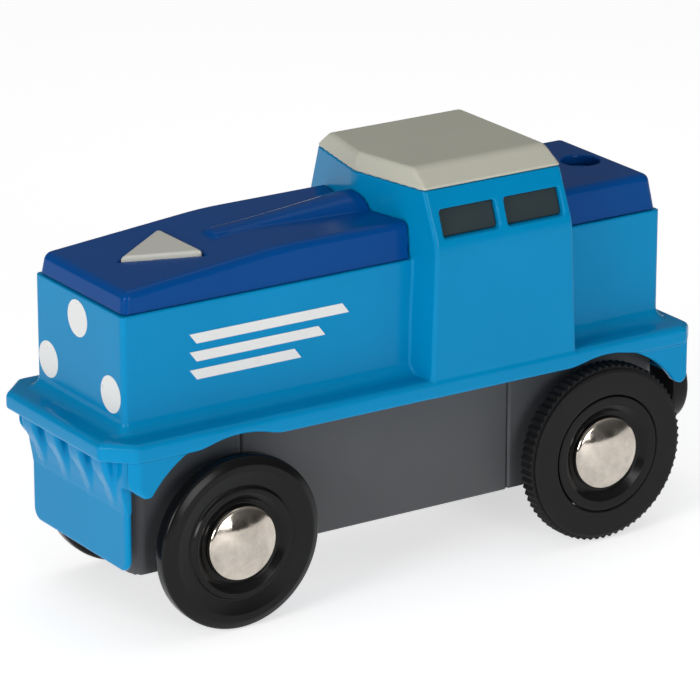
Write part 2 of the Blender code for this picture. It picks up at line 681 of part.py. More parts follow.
def gear_outline(centre, teeth, tooth_angle):
    """Gear with straight-flanked teeth; one tooth is centred on the tooth angle."""
    pitch_radius = MODULE * teeth / 2
    tip = pitch_radius + 0.75 * MODULE
    root = pitch_radius - 1.1 * MODULE
    pitch = 2 * math.pi / teeth
    points = []
    for tooth in range(teeth):
        middle = tooth_angle + tooth * pitch
        for radius, offset in ((root, -0.30), (tip, -0.10), (tip, 0.10), (root, 0.30)):
            angle = middle + offset * pitch
            points.append((centre[0] + radius * math.cos(angle), centre[1] + radius * math.sin(angle)))
    return points


def step_from(centre, angle):
    return (centre[0] + CENTRE_DISTANCE * math.cos(angle), centre[1] + CENTRE_DISTANCE * math.sin(angle))


def meshing_angle(angle):
    """Tooth angle of a pinion that puts a gap where the driving tooth comes in."""
    return angle + math.pi + math.pi / PINION_TEETH


SECOND_IDLER = step_from(REAR_AXLE, SECOND_IDLER_ANGLE)
FIRST_IDLER = step_from(SECOND_IDLER, FIRST_IDLER_ANGLE)
MOTOR_AXIS = step_from(FIRST_IDLER, MOTOR_ANGLE)


def build_idler(name, centre, wheel_angle, pinion_angle, wheel_layer, pinion_layer, materials):
    gear = prism("wheel", gear_outline(centre, WHEEL_TEETH, wheel_angle), "Y", *wheel_layer,
                 materials["gear_white"])
    pinion = prism("pinion", gear_outline(centre, PINION_TEETH, pinion_angle), "Y", pinion_layer[0],
                   wheel_layer[0] + 0.1)
    join(gear, pinion)
    cut(gear, prism("bore", circle(*centre, IDLER_SHAFT_RADIUS + GAP, 12), "Y", -20.0, 20.0))
    return finish(gear, name, (centre[0], 0.0, centre[1]))


def build_gear_train(materials):
    teeth = gear_outline(REAR_AXLE, WHEEL_TEETH, SECOND_IDLER_ANGLE)
    axle_gear = prism("axle_gear", teeth, "Y", *LAYER_AXLE, materials["gear_white"])
    cut(axle_gear, prism("bore", circle(*REAR_AXLE, AXLE_RADIUS + GAP, 14), "Y", -20.0, 20.0))
    finish(axle_gear, "axle_gear", (REAR_AXLE[0], 0.0, REAR_AXLE[1]))
    build_idler("second_idler_gear", SECOND_IDLER, FIRST_IDLER_ANGLE, meshing_angle(SECOND_IDLER_ANGLE),
                LAYER_SECOND, LAYER_AXLE, materials)
    build_idler("first_idler_gear", FIRST_IDLER, MOTOR_ANGLE, meshing_angle(FIRST_IDLER_ANGLE),
                LAYER_FIRST, LAYER_SECOND, materials)
    for name, centre in (("first_idler_shaft", FIRST_IDLER), ("second_idler_shaft", SECOND_IDLER)):
        shaft = prism("shaft", circle(*centre, IDLER_SHAFT_RADIUS, 12), "Y", 0.2, CASE_HALF_WIDTH - 0.2,
                      materials["steel"])
        finish(shaft, name)
    teeth = gear_outline(MOTOR_AXIS, PINION_TEETH, meshing_angle(MOTOR_ANGLE))
    pinion = prism("pinion", teeth, "Y", *LAYER_FIRST, materials["brass"])
    join(pinion, prism("shaft", circle(*MOTOR_AXIS, IDLER_SHAFT_RADIUS, 12), "Y", 2.6, LAYER_FIRST[0] + 0.1))
    finish(pinion, "motor_pinion", (MOTOR_AXIS[0], 0.0, MOTOR_AXIS[1]))


def build_motor(materials):
    """Small flat-sided can motor lying across the gear case."""
    flat = MOTOR_RADIUS - 0.8
    half_angle = math.degrees(math.asin(flat / MOTOR_RADIUS))
    outline = (arc(*MOTOR_AXIS, MOTOR_RADIUS, -half_angle, half_angle, 8)
               + arc(*MOTOR_AXIS, MOTOR_RADIUS, 180 - half_angle, 180 + half_angle, 8))
    motor = prism("motor", outline, "Y", *MOTOR_SPAN, materials["steel"])
    join(motor, prism("boss", circle(*MOTOR_AXIS, 1.8, 14), "Y", MOTOR_SPAN[1] - 0.2, MOTOR_SPAN[1] + 0.7))
    return finish(motor, "motor")


def case_outline(inset=0.0):
    """Side view of the gear case around axle, idlers and motor."""
    low = 9.1 + inset
    return [(-35.5 + inset, low), (-16.5 - inset, low), (-16.5 - inset, 34.2 - inset),
            (-32.4 + inset * 0.6, 34.2 - inset), (-35.5 + inset, 29.5 - inset * 0.6)]


def build_gear_case(materials):
    """Two halves of the gear case; both are pierced by the rear axle and open at the axle gear."""
    half = CASE_HALF_WIDTH
    tray = prism("tray", case_outline(), "Y", -half, half - CASE_WALL - GAP, materials["black"])
    plate = prism("plate", case_outline(), "Y", half - CASE_WALL, half, materials["black"])
    cut(tray, prism("inside", case_outline(CASE_WALL), "Y", -half + CASE_WALL, 20.0),
        axle_hole(REAR_AXLE), block("gear_slot", (-32.4, 1.2, 5.0), (-20.2, 4.0, 10.4)))
    cut(plate, axle_hole(REAR_AXLE))
    for idler in (FIRST_IDLER, SECOND_IDLER):
        cut(plate, prism("shaft_seat", circle(*idler, IDLER_SHAFT_RADIUS + GAP, 12), "Y", 6.0, 20.0))
    finish(tray, "gear_case")
    finish(plate, "gear_case_cover")


# ---------------------------------------------------------------- battery and contacts

def build_battery(materials):
    """Cell with its nipple to the rear."""
    rear, front = BATTERY_SPAN
    rim = BATTERY_RADIUS - 0.4
    profile = [(rear - NIPPLE_LENGTH, 0.0), (rear - NIPPLE_LENGTH, NIPPLE_RADIUS), (rear, NIPPLE_RADIUS),
               (rear, rim), (rear + 0.4, BATTERY_RADIUS), (front - 0.4, BATTERY_RADIUS), (front, rim),
               (front, 0.0)]
    battery = turned("battery", profile, "X", (0.0, BATTERY_HEIGHT), 20, materials["battery_jacket"])
    return finish(battery, "battery_cell")


def build_contacts(materials):
    """Spring at the flat end of the cell, and the contact plates at both ends."""
    coil_radius, wire, turns, steps_per_turn = 2.6, 0.3, 3, 10
    start, end = BATTERY_SPAN[1] + 0.5, 38.4
    rings = []
    total = turns * steps_per_turn
    for step in range(total + 1):
        angle = 2 * math.pi * step / steps_per_turn
        along = start + wire + (end - start - 2 * wire) * step / total
        ring = []
        for corner in range(6):
            turn = 2 * math.pi * corner / 6
            reach = coil_radius + wire * math.cos(turn)
            ring.append((along + wire * math.sin(turn), reach * math.cos(angle),
                         BATTERY_HEIGHT + reach * math.sin(angle)))
        rings.append(ring)
    finish(loft("spring", rings, materials["steel"]), "battery_spring")
    plate = block("plate", (38.75, -3.4, 14.0), (39.1, 3.4, 22.5), materials["brass"])
    finish(plate, "negative_contact_plate")
    positive = block("positive", (-11.05, -2.2, 14.2), (-10.65, 2.2, 22.5), materials["brass"])
    finish(positive, "positive_contact_plate")


def build_switch(materials):
    """Blade contact on the bridge, rocker with its pin, and the two buttons that stand on the rocker."""
    blade = [(8.4, 25.9), (12.8, 25.9), (23.6, 31.6), (24.2, 33.3), (23.6, 33.4), (23.1, 32.0), (12.6, 26.4),
             (8.4, 26.4)]
    finish(prism("blade", blade, "Y", -1.6, 1.6, materials["brass"]), "switch_contact_blade")

    rear, front = ROCKER_SPAN
    low, high = ROCKER_HEIGHT - ROCKER_HALF_THICKNESS, ROCKER_HEIGHT + ROCKER_HALF_THICKNESS
    rocker = block("rocker", (rear, -ROCKER_HALF_WIDTH, low), (front, ROCKER_HALF_WIDTH, high),
                   materials["gear_white"])
    join(rocker, prism("hub", circle(0.0, ROCKER_HEIGHT, 2.6, 16), "Y", -5.4, 5.4))
    cut(rocker, prism("bore", circle(0.0, ROCKER_HEIGHT, AXLE_RADIUS + GAP, 14), "Y", -20.0, 20.0))
    finish(rocker, "switch_rocker", (0.0, 0.0, ROCKER_HEIGHT))
    finish(prism("pin", circle(0.0, ROCKER_HEIGHT, AXLE_RADIUS, 12), "Y", -7.6, 7.6, materials["steel"]),
           "rocker_pin")

    def raised(point, lift):
        return (point[0], point[1], front_top(point[0]) + lift)

    foot = high + GAP
    rings = [[(x, y, BUTTON_SHOULDER) for x, y in start_outline()],
             [raised(point, 0.2) for point in start_outline()],
             [raised(point, 0.5) for point in start_outline(-GAP)]]
    start = loft("start", rings, materials["white"])
    stem = prism("stem", circle(START_STEM, 0.0, BUTTON_STEM_RADIUS, 14), "Z", foot, BUTTON_SHOULDER + 0.4)
    join(start, stem)
    finish(start, "start_button")

    top = HOOD_TOP - BUTTON_TRAVEL
    profile = [(foot, 0.0), (foot, BUTTON_STEM_RADIUS), (BUTTON_SHOULDER, BUTTON_STEM_RADIUS),
               (BUTTON_SHOULDER, STOP_RADIUS), (top - 0.3, STOP_RADIUS), (top, STOP_RADIUS - 0.3), (top, 0.0)]
    stop = turned("stop", profile, "Z", (STOP_CENTRE, 0.0), 20, materials["dark_blue"])
    finish(stop, "stop_button")


# ---------------------------------------------------------------- coupling

def build_coupling(materials):
    """Magnet in its round holder on a short stem, at the rear."""
    face = REAR_END
    holder = turned("holder", [(face + 0.4, MAGNET_RADIUS + GAP), (face + 0.4, COUPLING_RADIUS - 0.3),
                               (face + 0.8, COUPLING_RADIUS), (face + 3.0, COUPLING_RADIUS),
                               (face + 4.2, 3.0), (face + 4.2, 2.4), (face + 3.2, 2.4),
                               (face + 3.2, MAGNET_RADIUS + GAP)],
                    "X", (0.0, COUPLING_HEIGHT), 28, materials["black"])
    stem = prism("stem", circle(0.0, COUPLING_HEIGHT, COUPLING_STEM_RADIUS, 14), "X", face + 3.3,
                 CHASSIS_REAR - GAP)
    tail = prism("tail", circle(0.0, COUPLING_HEIGHT, COUPLING_TAIL_RADIUS, 14), "X", face + 4.0,
                 GEAR_BAY[0] - GAP)
    join(holder, stem, tail)
    finish(holder, "coupling_holder")
    magnet = turned("magnet", [(face, 0.0), (face, MAGNET_RADIUS - 0.3), (face + 0.3, MAGNET_RADIUS),
                               (face + 2.9, MAGNET_RADIUS), (face + 2.9, 0.0)],
                    "X", (0.0, COUPLING_HEIGHT), 24, materials["ferrite"])
    finish(magnet, "coupling_magnet")


def main():
    clear_scene()
    materials = make_materials()
    build_body_shell(materials)
    build_front_cover(materials)
    build_rear_cover(materials)
    build_roof(materials)
    for side in (-1, 1):
        build_window(side, materials)
    build_chassis(materials)
    build_hatch(materials)
    build_screw("hatch_screw", (HATCH_SCREW, 0.0), CHASSIS_BOTTOM + 0.8, 3.4, 1.9, materials)
    for side in (-1, 1):
        centre = (BODY_SCREW[0], side * BODY_SCREW[1])
        build_screw("body_screw_" + side_name(side), centre, 14.7, 13.5, 1.9, materials)
    build_wheelsets(materials)
    build_gear_train(materials)
    build_motor(materials)
    build_gear_case(materials)
    build_battery(materials)
    build_contacts(materials)
    build_switch(materials)
    build_coupling(materials)


main()
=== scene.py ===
"""Looks of the toy locomotive: fine moulded skins, turned wheels, prints, materials, lights and camera.

Shapes are worked out in millimetres in the frame's axes and scaled to metres when a mesh is made. Moulded
pieces are described by distance fields, so that every rounding and fillet has its real radius.
"""
import json
import math

import bmesh
import bpy
import numpy as np
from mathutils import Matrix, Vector

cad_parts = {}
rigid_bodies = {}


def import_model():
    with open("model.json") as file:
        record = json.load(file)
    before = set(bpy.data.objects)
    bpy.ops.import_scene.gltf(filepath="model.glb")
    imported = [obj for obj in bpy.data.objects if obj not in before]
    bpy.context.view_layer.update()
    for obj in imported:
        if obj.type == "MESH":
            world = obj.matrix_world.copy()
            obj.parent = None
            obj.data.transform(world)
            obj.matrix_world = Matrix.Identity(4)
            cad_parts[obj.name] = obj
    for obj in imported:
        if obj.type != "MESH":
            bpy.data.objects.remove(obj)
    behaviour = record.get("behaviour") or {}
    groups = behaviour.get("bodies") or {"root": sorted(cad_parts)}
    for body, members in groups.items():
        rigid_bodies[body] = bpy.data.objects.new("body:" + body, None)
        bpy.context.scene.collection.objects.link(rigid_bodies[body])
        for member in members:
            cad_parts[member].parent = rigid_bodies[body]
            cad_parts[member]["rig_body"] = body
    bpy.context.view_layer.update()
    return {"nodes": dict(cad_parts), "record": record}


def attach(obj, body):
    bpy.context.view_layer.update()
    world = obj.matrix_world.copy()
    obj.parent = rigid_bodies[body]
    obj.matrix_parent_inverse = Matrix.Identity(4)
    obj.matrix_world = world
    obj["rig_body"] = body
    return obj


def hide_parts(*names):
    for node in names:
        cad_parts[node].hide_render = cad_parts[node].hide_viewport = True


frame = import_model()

MM = 0.001
FIT = 0.3

# Body shell
FRONT_END = 46.94
FOOTPLATE_REAR = -40.28
FOOTPLATE_HALF_WIDTH = 14.88
FOOTPLATE_BOTTOM = 24.4
FOOTPLATE_TOP = 26.86
FRONT_CHAMFER = 3.52
REAR_CHAMFER = 1.5
HOOD_FRONT = 42.83
HOOD_REAR = -37.31
HOOD_HALF_WIDTH = 10.6
HOOD_PARTING = 41.7
HOOD_TOP = 46.5
LEVEL_FROM = 19.8
PARTING_GAP = 0.03
WALL = 1.5
CAB_SIDE = 14.7
CAB_WAIST = 43.9
CAB_LEAN = math.atan2(14.7 - 12.14, 50.77 - 43.9)
CAB_TOP = 50.77
CAB_REAR = -21.38
CAB_NOSE = 3.6
ROOF_TOP = 53.2
WINDOW_LOW = 44.9
WINDOW_HIGH = 48.35
WINDOW_SPANS = ((-9.6, -1.2), (-19.4, -10.9))
APRON_FACE = 43.3
APRON_BACK = 42.4
APRON_HALF_WIDTH = 11.5
APRON_BOTTOM = 9.2
WEB_FACE = 43.9
RIB_CENTRES = (2.85, 8.55)

# Chassis and running gear
CHASSIS_FRONT = 41.0
CHASSIS_REAR = -37.9
CHASSIS_HALF_WIDTH = 9.54
CHASSIS_BOTTOM = 7.57
CHASSIS_TOP = 24.1
HATCH_FRONT = 25.66
HATCH_REAR = -14.5
HATCH_SCREW = -12.4
FRONT_AXLE = (28.76, 11.25)
REAR_AXLE = (-26.29, 11.87)
WHEEL_INNER_FACE = 12.4
BOSS_FACE = 10.0
BOSS_RADIUS = 3.0
FRONT_FACE = 15.07
REAR_FACE = 15.25
HUB_RADIUS = 7.7
CAP_RADIUS = 4.88
CAP_CROWN = 16.05
BORE_RADIUS = 1.3
TYRE_KNURLS = 72

# Buttons and coupling
START_APEX = 36.7
START_BASE = 28.2
START_HALF_WIDTH = 5.4
START_STEM = 30.8
STOP_CENTRE = -32.2
STOP_RADIUS = 2.2
BUTTON_TRAVEL = 1.2
STEM_FOOT = 37.5
STEM_RADIUS = 1.8
COUPLING_HEIGHT = 14.2
COUPLING_RADIUS = 5.8
COUPLING_REAR = -46.94
MAGNET_RADIUS = 4.0

# Meshing
FLAT_ANGLE = math.radians(0.1)
SHARP_ANGLE = math.radians(40)
WHEEL_STEPS = 144
CAP_STEPS = 96
KNURL_STEPS = 8
KNURL_DEPTH = 0.34

# Prints: (name, y, z) of each lamp dot, and (start, end, low edge) of each stripe
DOT_RADIUS = 2.35
LAMP_DOTS = (("top", -0.15, 38.7), ("right", -7.55, 31.3), ("left", 7.6, 31.2))
STRIPES = ((10.5, 32.5, 36.6), (14.0, 32.5, 34.3), (17.5, 32.5, 32.0))
STRIPE_HEIGHT = 1.3
STRIPE_SLANT = 1.0
PRINT_THICKNESS = 0.035

# Stage: (name, place, size, power) of each light in metres and watts, and the camera that took the photo
FLOOR_HALF_SIZE = 25.0
LIGHT_TARGET = (0.0, 0.0, 0.025)
LIGHTS = (("key_box", (0.60, 0.20, 0.22), 0.22, 1.85),
          ("side_box", (0.05, 0.65, 0.20), 0.26, 1.3),
          ("top_box", (-0.1, -0.1, 0.8), 0.5, 0.75))
CAMERA_AZIMUTH = math.radians(56.826)
CAMERA_ELEVATION = math.radians(19.053)
CAMERA_TARGET = (3.414, 0.0, 27.21)
CAMERA_DISTANCE = 0.56458
CAMERA_LENS = 229.05


# ---------------------------------------------------------------- distance fields
# A field is negative inside the piece. Arguments are arrays of coordinates in millimetres.

def meet(a, b, radius=0.0):
    """What is inside both, with the common edge rounded."""
    if radius == 0.0:
        return np.maximum(a, b)
    over_a, over_b = np.maximum(a + radius, 0.0), np.maximum(b + radius, 0.0)
    return np.minimum(-radius, np.maximum(a, b)) + np.hypot(over_a, over_b)


def soften(a, b, width):
    """What is inside both, where the two faces meet at an open angle; width sets how far the bend spreads."""
    overlap = np.maximum(width - np.abs(a - b), 0.0) / width
    return np.maximum(a, b) + overlap * overlap * width / 4


def fuse(a, b, radius=0.0):
    """What is inside either, with a fillet where they meet."""
    return -meet(-a, -b, radius)


def remove(a, b, radius=0.0):
    return meet(a, -b, radius)


def slab(value, low, high):
    return np.maximum(low - value, value - high)


def box(x, y, z, low, high, radius=0.0):
    flat = meet(slab(x, low[0], high[0]), slab(y, low[1], high[1]), radius)
    return meet(flat, slab(z, low[2], high[2]), radius)


def rod(u, v, centre, radius):
    return np.hypot(u - centre[0], v - centre[1]) - radius


def half_plane(u, v, start, end):
    """Distance outside the line from start to end, whose inside lies on its left."""
    run, rise = end[0] - start[0], end[1] - start[1]
    return ((u - start[0]) * rise - (v - start[1]) * run) / math.hypot(run, rise)


def cab_field(x, y, z, grow=0.0):
    """Cab without top or bottom: leaning sides with a soft waist and a shallow V front."""
    side = np.abs(y)
    upright = side - CAB_SIDE - grow
    lean = (side - CAB_SIDE) * math.cos(CAB_LEAN) + (z - CAB_WAIST) * math.sin(CAB_LEAN) - grow
    walls = soften(upright, lean, 0.5)
    nose_left = (x - CAB_NOSE + 0.197 * y + 0.033 * (z - 26.9)) / 1.0197 - grow
    nose_right = (x - CAB_NOSE - 0.197 * y + 0.033 * (z - 26.9)) / 1.0197 - grow
    front = soften(nose_left, nose_right, 0.5)
    rear = CAB_REAR + 0.0473 * (z - 26.9) - x - grow
    return meet(meet(walls, front, 0.45), rear, 0.45)


def footplate_field(x, y, z):
    side = np.abs(y)
    front_corner = (x + side - FRONT_END - FOOTPLATE_HALF_WIDTH + FRONT_CHAMFER) / math.sqrt(2)
    rear_corner = (side - x + FOOTPLATE_REAR - FOOTPLATE_HALF_WIDTH + REAR_CHAMFER) / math.sqrt(2)
    outline = meet(slab(x, FOOTPLATE_REAR, FRONT_END), side - FOOTPLATE_HALF_WIDTH)
    outline = soften(soften(outline, front_corner, 0.25), rear_corner, 0.25)
    return meet(outline, z - FOOTPLATE_TOP, 0.9)


def beam_field(x, y, z):
    """Front beam with its four tapering ribs, and the apron below it."""
    side = np.abs(y)
    panel = meet(side - APRON_HALF_WIDTH, APRON_BOTTOM - z, 1.6)
    apron = meet(meet(panel, slab(x, APRON_BACK, APRON_FACE), 0.4), z - 25.4)
    corner = (x + side - FRONT_END - FOOTPLATE_HALF_WIDTH + FRONT_CHAMFER + 0.9) / math.sqrt(2)
    face = soften(x - WEB_FACE, half_plane(x, z, (APRON_FACE, 17.4), (WEB_FACE, 20.4)), 0.3)
    web = fuse(meet(side - APRON_HALF_WIDTH, 17.0 - z), meet(side - 14.4, 20.6 - z))
    web = meet(meet(meet(face, corner, 1.2), APRON_BACK - x), meet(web, z - 25.4), 0.2)
    beam = fuse(apron, web, 0.25)
    slope = half_plane(x, z, (APRON_FACE, 17.9), (45.6, 22.6))
    front = soften(x - 45.6, slope, 0.5)
    width = 0.9 + 0.8 * np.clip((z - 17.5) / 4.5, 0.0, 1.0)
    for middle in RIB_CENTRES:
        rib = meet(front, np.abs(side - middle) - width, 0.7)
        rib = meet(rib, meet(APRON_BACK - x, slab(z, 16.9, 25.4)))
        beam = fuse(beam, rib, 0.5)
    return beam


def skirt_field(x, y, z):
    """Side skirts at both ends, cut round the wheels."""
    side = np.abs(y)
    plate = slab(side, 13.1, 14.5)
    corner = (x + side - FRONT_END - FOOTPLATE_HALF_WIDTH + FRONT_CHAMFER + 0.9) / math.sqrt(2)
    front = soften(half_plane(x, z, (42.2, 19.6), (46.2, 22.3)), 19.6 - z, 0.15)
    front = meet(front, 15.0 - np.hypot(x - FRONT_AXLE[0], z - FRONT_AXLE[1]), 0.3)
    front = meet(meet(front, meet(x - 45.6, 34.0 - x)), corner, 0.9)
    rear = meet(-39.4 - x, 18.95 - z, 1.2)
    rear = meet(rear, 13.4 - np.hypot(x - REAR_AXLE[0], z - REAR_AXLE[1]), 0.8)
    rear = meet(rear, x + 29.0)
    rear_panel = meet(slab(x, -39.4, -38.2), meet(side - 13.6, 19.6 - z, 0.8), 0.4)
    skirts = meet(fuse(front, rear), plate, 0.35)
    return meet(fuse(skirts, rear_panel, 0.4), z - 25.4)


def shell_inside(x, y, z):
    """Hollow of the shell: wells under both hood covers, the tunnel below the cab and the cab itself."""
    inside = np.abs(y) - (HOOD_HALF_WIDTH - WALL)
    front_well = meet(inside, slab(x, 5.2, HOOD_FRONT - WALL), 0.5)
    rear_well = meet(inside, slab(x, HOOD_REAR + WALL, -22.9), 0.5)
    tunnel = meet(inside, meet(slab(x, -24.0, 6.2), z - 39.0))
    cab = meet(cab_field(x, y, z, -1.4), FOOTPLATE_TOP + 0.8 - z, 0.3)
    return fuse(fuse(front_well, rear_well), fuse(tunnel, cab))


def window_field(x, z, grow=0.0):
    field = None
    for low, high in WINDOW_SPANS:
        pane = meet(slab(x, low - grow, high + grow), slab(z, WINDOW_LOW - grow, WINDOW_HIGH + grow), 0.45)
        field = pane if field is None else fuse(field, pane)
    return field


def shell_field(x, y, z):
    side = np.abs(y)
    hood = meet(slab(x, HOOD_REAR, HOOD_FRONT), side - HOOD_HALF_WIDTH, 0.7)
    hood = meet(hood, z - HOOD_PARTING, 0.1)
    body = fuse(footplate_field(x, y, z), hood, 1.8)
    body = fuse(body, meet(cab_field(x, y, z), z - CAB_TOP, 0.15), 0.25)
    body = meet(body, FOOTPLATE_BOTTOM - z, 0.5)
    for axle, clearance in ((FRONT_AXLE, 14.15), (REAR_AXLE, 13.3)):
        arch = meet(rod(x, z, axle, clearance), 11.2 - side)
        body = remove(body, arch, 0.5)
    body = fuse(body, beam_field(x, y, z), 0.1)
    body = fuse(body, skirt_field(x, y, z), 0.15)
    body = remove(body, shell_inside(x, y, z), 0.15)
    body = remove(body, meet(window_field(x, z), 10.0 - side), 0.22)
    post = meet(slab(x, 36.2, 41.6), meet(slab(side, 4.6, 9.4), slab(z, FOOTPLATE_BOTTOM, 31.0)))
    post = remove(post, meet(rod(x, side, (38.0, 6.6), BORE_RADIUS), z - 29.5))
    return fuse(body, post)


def cover_walls(side, z):
    """Drafted side of both hood covers."""
    return (side - (HOOD_HALF_WIDTH - 0.35) + 0.11 * (z - HOOD_PARTING)) / 1.006


def front_top_field(x, z):
    """Above the front hood top: level by the cab, falling to the nose with a soft knee."""
    fall = half_plane(x, z, (HOOD_FRONT - 1.0, HOOD_TOP - 2.0), (LEVEL_FROM, HOOD_TOP))
    return soften(z - HOOD_TOP, fall, 0.25)


def spine_field(x, y, z):
    """Raised spine, wider and higher towards the cab, with a rounded nose."""
    share = np.clip((24.0 - x) / 19.5, 0.0, 1.0)
    rise = 0.65 + 1.5 * share ** 1.3
    half_width = 1.6 + 1.5 * share ** 1.5
    ridge = (np.hypot(y / half_width, (z - HOOD_TOP + 0.3) / rise) - 1.0) * np.minimum(rise, half_width)
    nose = half_plane(x, z, (24.7, HOOD_TOP - 0.5), (23.9, HOOD_TOP + 1.0))
    return meet(meet(ridge, nose, 0.6), HOOD_TOP - 1.2 - z)


def front_cover_field(x, y, z):
    side = np.abs(y)
    front = (x - (HOOD_FRONT - 0.35) + 0.16 * (z - HOOD_PARTING)) / 1.0127
    walls = meet(cover_walls(side, z), front, 0.95)
    outer = meet(walls, front_top_field(x, z), 0.9)
    outer = fuse(outer, spine_field(x, y, z), 0.2)
    outer = meet(outer, HOOD_PARTING + PARTING_GAP - z, 0.05)
    hollow = meet(meet(walls + WALL, front_top_field(x, z) + WALL, 0.5), 4.8 - x)
    outer = remove(outer, hollow)
    outer = remove(outer, cab_field(x, y, z, FIT * 0.5), 0.12)
    return remove(outer, triangle_field(x, y, FIT), 0.25)


def triangle_field(x, y, grow=0.0):
    """Start button's outline, pointing to the front."""
    side = half_plane(x, np.abs(y), (START_APEX, 0.0), (START_BASE, START_HALF_WIDTH))
    return soften(side, START_BASE - x, 0.6) - grow


def rear_cover_field(x, y, z):
    rear = (HOOD_REAR + 0.35 - x + 0.16 * (z - HOOD_PARTING)) / 1.0127
    walls = meet(cover_walls(np.abs(y), z), rear, 0.95)
    outer = meet(walls, z - HOOD_TOP, 0.9)
    outer = meet(outer, HOOD_PARTING + PARTING_GAP - z, 0.05)
    hollow = meet(meet(walls + WALL, z - HOOD_TOP + WALL, 0.5), x + 22.4)
    outer = remove(outer, hollow)
    outer = remove(outer, cab_field(x, y, z, FIT * 0.5), 0.12)
    return remove(outer, rod(x, y, (STOP_CENTRE, 0.0), STOP_RADIUS + FIT), 0.3)


def roof_field(x, y, z):
    """Roof cap: flat plate with bevelled sides over a thin upright rim, and the tab that plugs the cab."""
    side = np.abs(y)
    edge = CAB_TOP + PARTING_GAP
    rim = cab_field(x, y, np.full_like(z, CAB_TOP), 0.02)
    bevel = half_plane(side, z, (12.2, edge + 0.25), (9.45, ROOF_TOP))
    front = (x - 2.9 + 0.197 * side + 0.27 * (z - edge)) / 1.055
    rear = (-20.28 - x + 0.24 * (z - edge)) / 1.028
    top = soften(z - ROOF_TOP, bevel, 0.5)
    top = meet(meet(top, front, 0.4), rear, 0.4)
    cap = meet(meet(top, rim), edge - z, 0.12)
    tab = meet(cab_field(x, y, np.full_like(z, CAB_TOP), -1.7), slab(z, edge - 1.6, edge + 0.5))
    hollow = meet(cab_field(x, y, np.full_like(z, CAB_TOP), -2.9), z - edge - 0.6)
    return remove(fuse(cap, tab), hollow)


def window_insert_field(x, y, z):
    """Insert of the left side: a strip behind the wall with two panes that fill the openings."""
    lean = (y - CAB_SIDE) * math.cos(CAB_LEAN) + (z - CAB_WAIST) * math.sin(CAB_LEAN)
    strip = meet(slab(lean, -2.55, -1.8), meet(slab(x, -19.0, -1.9), slab(z, 45.3, 47.95)), 0.1)
    panes = meet(slab(lean, -2.3, -0.62), window_field(x, z, -0.08), 0.12)
    return fuse(strip, panes)


def chassis_field(x, y, z):
    """Grey frame: both end blocks, the rails beside the cell, bridge and rocker posts."""
    side = np.abs(y)
    outline = meet(slab(x, CHASSIS_REAR, CHASSIS_FRONT), side - CHASSIS_HALF_WIDTH, 1.8)
    frame_block = meet(outline, slab(z, CHASSIS_BOTTOM, CHASSIS_TOP), 0.3)
    bulge = meet(rod(x, z, REAR_AXLE, 6.6), slab(y, 0.4, 4.8), 0.5)
    solid = fuse(frame_block, bulge, 0.5)
    gear_bay = meet(slab(x, -36.9, -16.2), meet(side - 8.04, 8.8 - z))
    pocket = meet(rod(x, z, REAR_AXLE, 5.9), slab(y, 1.4, 3.8))
    battery_bay = meet(slab(x, -15.0, 34.9), meet(side - 6.0, 13.0 - z))
    spring_bay = meet(slab(x, 30.0, 39.4), meet(side - 3.8, 13.0 - z))
    solid = remove(solid, fuse(fuse(gear_bay, pocket), fuse(battery_bay, spring_bay)))
    hatch_space = meet(slab(x, HATCH_REAR, HATCH_FRONT), fuse(z - 13.0, 7.7 - side))
    solid = remove(solid, hatch_space, 0.15)
    bridge = box(x, y, z, (8.0, -7.7, 23.95), (13.0, 7.7, 25.6), 0.2)
    boss = box(x, y, z, (-15.4, -3.0, 9.5), (-10.2, 3.0, 12.8))
    divider = box(x, y, z, (-12.9, -6.5, 12.0), (-11.4, 6.5, 22.0))
    post = fuse(rod(x, z, (0.0, 36.2), 2.4), meet(np.abs(x) - 2.5, slab(z, 22.0, 36.2)))
    post = meet(post, slab(side, 6.0, 7.7), 0.2)
    solid = fuse(fuse(solid, bridge), fuse(fuse(boss, divider), post))
    holes = fuse(rod(x, z, FRONT_AXLE, BORE_RADIUS), rod(x, z, REAR_AXLE, BORE_RADIUS))
    holes = fuse(holes, rod(x, z, (0.0, 36.2), BORE_RADIUS))
    screws = fuse(rod(x, side, (38.0, 6.6), BORE_RADIUS), meet(rod(x, side, (38.0, 6.6), 2.2), z - 15.0))
    holes = fuse(holes, screws)
    holes = fuse(holes, meet(rod(x, y, (HATCH_SCREW, 0.0), BORE_RADIUS), z - 12.4))
    holes = fuse(holes, meet(rod(y, z, (0.0, COUPLING_HEIGHT), 2.1), x + 30.0))
    return remove(solid, holes)


def hatch_field(x, y, z):
    side = np.abs(y)
    outer = meet(slab(x, HATCH_REAR + 0.12, HATCH_FRONT - 0.12), side - CHASSIS_HALF_WIDTH, 0.2)
    outer = meet(outer, slab(z, CHASSIS_BOTTOM, CHASSIS_TOP - 0.1), 0.35)
    outer = remove(outer, meet(side - 8.0, CHASSIS_BOTTOM + 1.5 - z, 0.6))
    screw = fuse(rod(x, y, (HATCH_SCREW, 0.0), BORE_RADIUS),
                 meet(rod(x, y, (HATCH_SCREW, 0.0), 2.3), z - CHASSIS_BOTTOM - 0.9))
    return remove(outer, screw, 0.1)


def start_button_field(x, y, z):
    """Raised triangle with bevelled rim on a round stem."""
    lift = front_top_field(x, z)
    plate = meet(triangle_field(x, y), lift - 0.5, 0.35)
    plate = meet(plate, 42.6 - z)
    stem = meet(rod(x, y, (START_STEM, 0.0), STEM_RADIUS), slab(z, STEM_FOOT, 43.4))
    return fuse(plate, stem)


# ---------------------------------------------------------------- meshing

def grid_lines(low, high, cell):
    count = max(2, int(math.ceil((high - low) / cell)))
    return np.linspace(low, high, count + 1)


